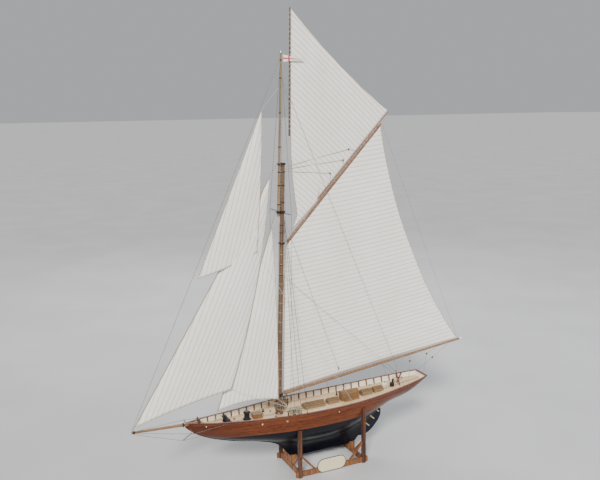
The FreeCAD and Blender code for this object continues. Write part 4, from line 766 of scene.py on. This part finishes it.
def build_coils():
    """Coiled halyards round the mast's pins and on both pin racks."""
    runs = []
    for i in range(11):
        angle = 2.0 * math.pi * i / 11 + 0.2
        out = Vector((math.cos(angle), math.sin(angle), 0.0))
        reach = 9.6 + 0.5 * (i % 2)
        centre = mm(*mast_at(163.4, reach * out.x, reach * out.y))
        runs.append(coil(centre, out, 0.0165 + 0.0018 * (i % 3), 0.0027, 3, 0.00052, 0.06))
    tubes("mast_coils", runs, 0.00052, LINE_COIL, "ship", 5)
    wraps = []
    for dz in (-1.2, 0.0, 1.2):
        wraps.append(ring_points(mm(*mast_at(155.5 + dz)), MAST_AXIS, 0.0118, 28, 0.02))
    tubes("mast_coil_seizing", wraps, 0.0006, LINE_DARK, "ship", 6, True)
    runs = []
    for side in (-1.0, 1.0):
        for i in range(6):
            x = -95.0 + i * 4.4
            out = Vector((0.0, side, 0.0))
            centre = mm(x, side * 33.4, 159.0)
            runs.append(coil(centre, out, 0.0130 + 0.0018 * (i % 3), 0.0025, 4, 0.00046, -0.03))
    tubes("rack_coils", runs, 0.00046, LINE_GREEN, "ship", 5)


# ---------------------------------------------------------------- hull and deck detail

def surface_y(x, z, side):
    """Where the topsides' outer skin is at x and z, in drawing millimetres, and its normal."""
    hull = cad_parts["hull_topsides"]
    origin = mm(x, side * 120.0, z)
    hit, place, normal, _ = hull.ray_cast(origin, Vector((0.0, -side, 0.0)))
    return (place, normal) if hit else (None, None)


def lathe(name, centre, axis, profile, material, body, sides=24):
    """A turned piece from (radius, height) pairs in millimetres."""
    axis = axis.normalized()
    first = axis.orthogonal().normalized()
    second = axis.cross(first)
    vertices, faces = [], []
    for r, h in profile:
        for k in range(sides):
            angle = 2.0 * math.pi * k / sides
            out = first * math.cos(angle) + second * math.sin(angle)
            vertices.append(centre + axis * (h / 1000.0) + out * (r / 1000.0))
    for i in range(len(profile) - 1):
        for k in range(sides):
            m = (k + 1) % sides
            faces.append((i * sides + k, i * sides + m, (i + 1) * sides + m, (i + 1) * sides + k))
    faces.append(tuple(reversed(range(sides))))
    faces.append(tuple(range((len(profile) - 1) * sides, len(profile) * sides)))
    return new_object(name, vertices, faces, material, body)


def build_hull_trim():
    """Small bright fairleads a little below the rail, and the rubbing strake under it."""
    number = 0
    for x, drop in ((-279.0, 6.0), (-162.0, 10.0), (-108.0, 10.0), (15.0, 10.0)):
        for side in (-1.0, 1.0):
            place, normal = surface_y(x, sheer(x) - drop, side)
            if place is None:
                continue
            number += 1
            profile = [(1.9, -0.3), (1.9, 0.4), (1.5, 0.8), (0.9, 0.8), (0.9, 0.2)]
            lathe("fairlead_%d" % number, place, normal, profile, BRASS, "ship", 20)
    strakes = []
    for side in (-1.0, 1.0):
        points = []
        for i in range(90):
            x = lerp(-305.0, 262.0, i / 89.0)
            z = sheer(x) - 3.2
            place, normal = surface_y(x, z, side)
            if place is not None:
                points.append(place + normal * 0.0001)
        strakes.append(points)
    tubes("rubbing_strake", strakes, 0.00075, WOOD_RAIL, "ship", 6)


SHEER = [(-320.0, 153.6), (-299.0, 153.2), (-270.0, 151.2), (-240.0, 149.6), (-207.0, 148.3), (-172.0, 147.4),
         (-140.0, 147.0), (-72.0, 147.0), (8.0, 147.2), (44.0, 147.8), (78.0, 149.0), (108.0, 150.6),
         (136.0, 152.5), (162.0, 154.4), (186.0, 156.4), (212.0, 158.6), (240.0, 161.2), (276.0, 165.4)]


def sheer(x):
    for (x0, z0), (x1, z1) in zip(SHEER, SHEER[1:]):
        if x <= x1:
            return lerp(z0, z1, (x - x0) / (x1 - x0))
    return SHEER[-1][1]


def build_deck_detail():
    deck_low, deck_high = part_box("compass_stand")
    centre = Vector(((deck_low.x + deck_high.x) / 2, (deck_low.y + deck_high.y) / 2, deck_high.z))
    lathe("compass_bowl", centre, Vector((0, 0, 1)), [(2.4, -0.2), (2.4, 0.5), (1.8, 1.3), (0.7, 1.7)], BLACK,
          "ship", 20)
    pins = []
    for side in (-1.0, 1.0):
        for i in range(6):
            x = -46.0 + 5.2 * i
            base = mm(x, side * 53.6, sheer(x) + 1.5)
            pins.append([base, base + Vector((0, 0, 0.0016)), base + Vector((0, 0, 0.0042))])
    tubes("rail_pins", pins, lambda t: 0.00055 + 0.0004 * math.sin(math.pi * t), WHITE, "ship", 8)
    end = mm(388.0, 0.0, 235.5)
    along = Vector((480.0, 0.0, 55.0)).normalized()
    lathe("boom_end_cap", end - along * 0.006, along, [(2.45, 0.0), (2.95, 0.3), (2.95, 4.6), (2.3, 6.8)], WHITE,
          "main_rig", 20)
    lanyards = []
    for x in (-90.0, -76.0, -62.0):
        for side in (-1.0, 1.0):
            foot = mm(x, side * (RAIL_HALF[x] - 1.4), sheer(x) + 1.9)
            top = mm(*mast_at(579.0, 0.0, side * 5.8))
            run = (top - foot).normalized()
            across = Vector((1.0, 0.0, 0.0))
            for k in (-1, 0, 1):
                a = foot + run * 0.0016 + across * (0.0008 * k)
                b = foot + run * 0.0070 + across * (0.0008 * k)
                lanyards.append([a, b])
    tubes("deadeye_lanyards", lanyards, 0.00022, LINE_TAN, "ship", 5)
    low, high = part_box("name_plate")
    for i, x in enumerate((low.x + 0.004, high.x - 0.004)):
        centre = Vector((x, low.y, (low.z + high.z) / 2))
        lathe("plate_screw_%d" % (i + 1), centre, Vector((0, -1, 0)), [(1.1, -0.1), (1.1, 0.2), (0.7, 0.5)], BRASS,
              "stand", 16)


RAIL_HALF = {-90.0: 53.3, -76.0: 54.8, -62.0: 55.7}
JIB_CLEW = (-218.5, -9.5, 215.0)
STAYSAIL_CLEW = (-111.0, -10.7, 173.0)
TOPSAIL_JIB_CLEW = (-153.0, -10.6, 505.0)

build_hoops_and_bands()
build_lacing()
build_halyards()
build_coils()
build_hull_trim()
build_deck_detail()

# ---------------------------------------------------------------- light, floor and camera

def make_floor():
    n = Nodes("pale_floor")
    soft = n.noise(n.place(), 3.0, 2.0)
    color = n.mix(n.span(soft, 0.3, 0.7), (0.50, 0.505, 0.515), (0.54, 0.545, 0.555))
    n.bump(n.noise(n.place(), 200.0, 2.0), 0.0001, 0.2)
    material = n.finish(color, 0.7)
    mesh = bpy.data.meshes.new("floor")
    mesh.from_pydata([(-60, -60, 0), (60, -60, 0), (60, 60, 0), (-60, 60, 0)], [], [(0, 1, 2, 3)])
    floor = bpy.data.objects.new("floor", mesh)
    mesh.materials.append(material)
    bpy.context.scene.collection.objects.link(floor)


def area_light(name, location, target, size, power, color=(1.0, 1.0, 1.0)):
    light = bpy.data.lights.new(name, "AREA")
    light.shape = "DISK"
    light.size = size
    light.energy = power
    light.color = color
    obj = bpy.data.objects.new(name, light)
    obj.location = location
    direction = Vector(target) - Vector(location)
    obj.rotation_euler = direction.to_track_quat("-Z", "Y").to_euler()
    bpy.context.scene.collection.objects.link(obj)


def sun_light(name, direction, strength, spread_degrees, color):
    """A soft key that lights the whole floor evenly, shining from direction towards the model."""
    light = bpy.data.lights.new(name, "SUN")
    light.energy = strength
    light.angle = math.radians(spread_degrees)
    light.color = color
    obj = bpy.data.objects.new(name, light)
    obj.location = direction
    obj.rotation_euler = (-Vector(direction)).to_track_quat("-Z", "Y").to_euler()
    bpy.context.scene.collection.objects.link(obj)


def make_camera():
    """The viewing direction, roll and distance of the reference view."""
    azimuth, elevation, roll = math.radians(-24.63), math.radians(10.27), math.radians(-0.87)
    level = math.cos(elevation)
    back = Vector((math.sin(azimuth) * level, -math.cos(azimuth) * level, math.sin(elevation)))
    right = Vector((math.cos(azimuth), math.sin(azimuth), 0.0))
    up = back.cross(right)
    x_axis = right * math.cos(roll) + up * math.sin(roll)
    y_axis = up * math.cos(roll) - right * math.sin(roll)
    data = bpy.data.cameras.new("camera")
    data.lens = 43.437
    data.sensor_width = 36.0
    data.sensor_fit = "HORIZONTAL"
    data.shift_x = 0.01667
    camera = bpy.data.objects.new("camera", data)
    location = mm(-72.5, 0.0, 522.0) + back * 1.5472
    camera.matrix_world = Matrix((
        (x_axis.x, y_axis.x, back.x, location.x),
        (x_axis.y, y_axis.y, back.y, location.y),
        (x_axis.z, y_axis.z, back.z, location.z),
        (0, 0, 0, 1),
    ))
    bpy.context.scene.collection.objects.link(camera)
    bpy.context.scene.camera = camera


make_floor()
sun_light("key", (-1.4, -2.0, 1.7), 4.3, 12.0, (1.0, 0.97, 0.93))
area_light("fill", (1.8, -1.2, 1.0), (0.0, 0.0, 0.4), 1.6, 20.0, (0.93, 0.96, 1.0))
area_light("rim", (0.6, 1.8, 1.8), (0.0, 0.0, 0.5), 1.2, 26.0)
world = bpy.data.worlds.new("studio")
world.use_nodes = True
world.node_tree.nodes["Background"].inputs[0].default_value = (0.80, 0.82, 0.85, 1.0)
world.node_tree.nodes["Background"].inputs[1].default_value = 0.55
bpy.context.scene.world = world
make_camera()
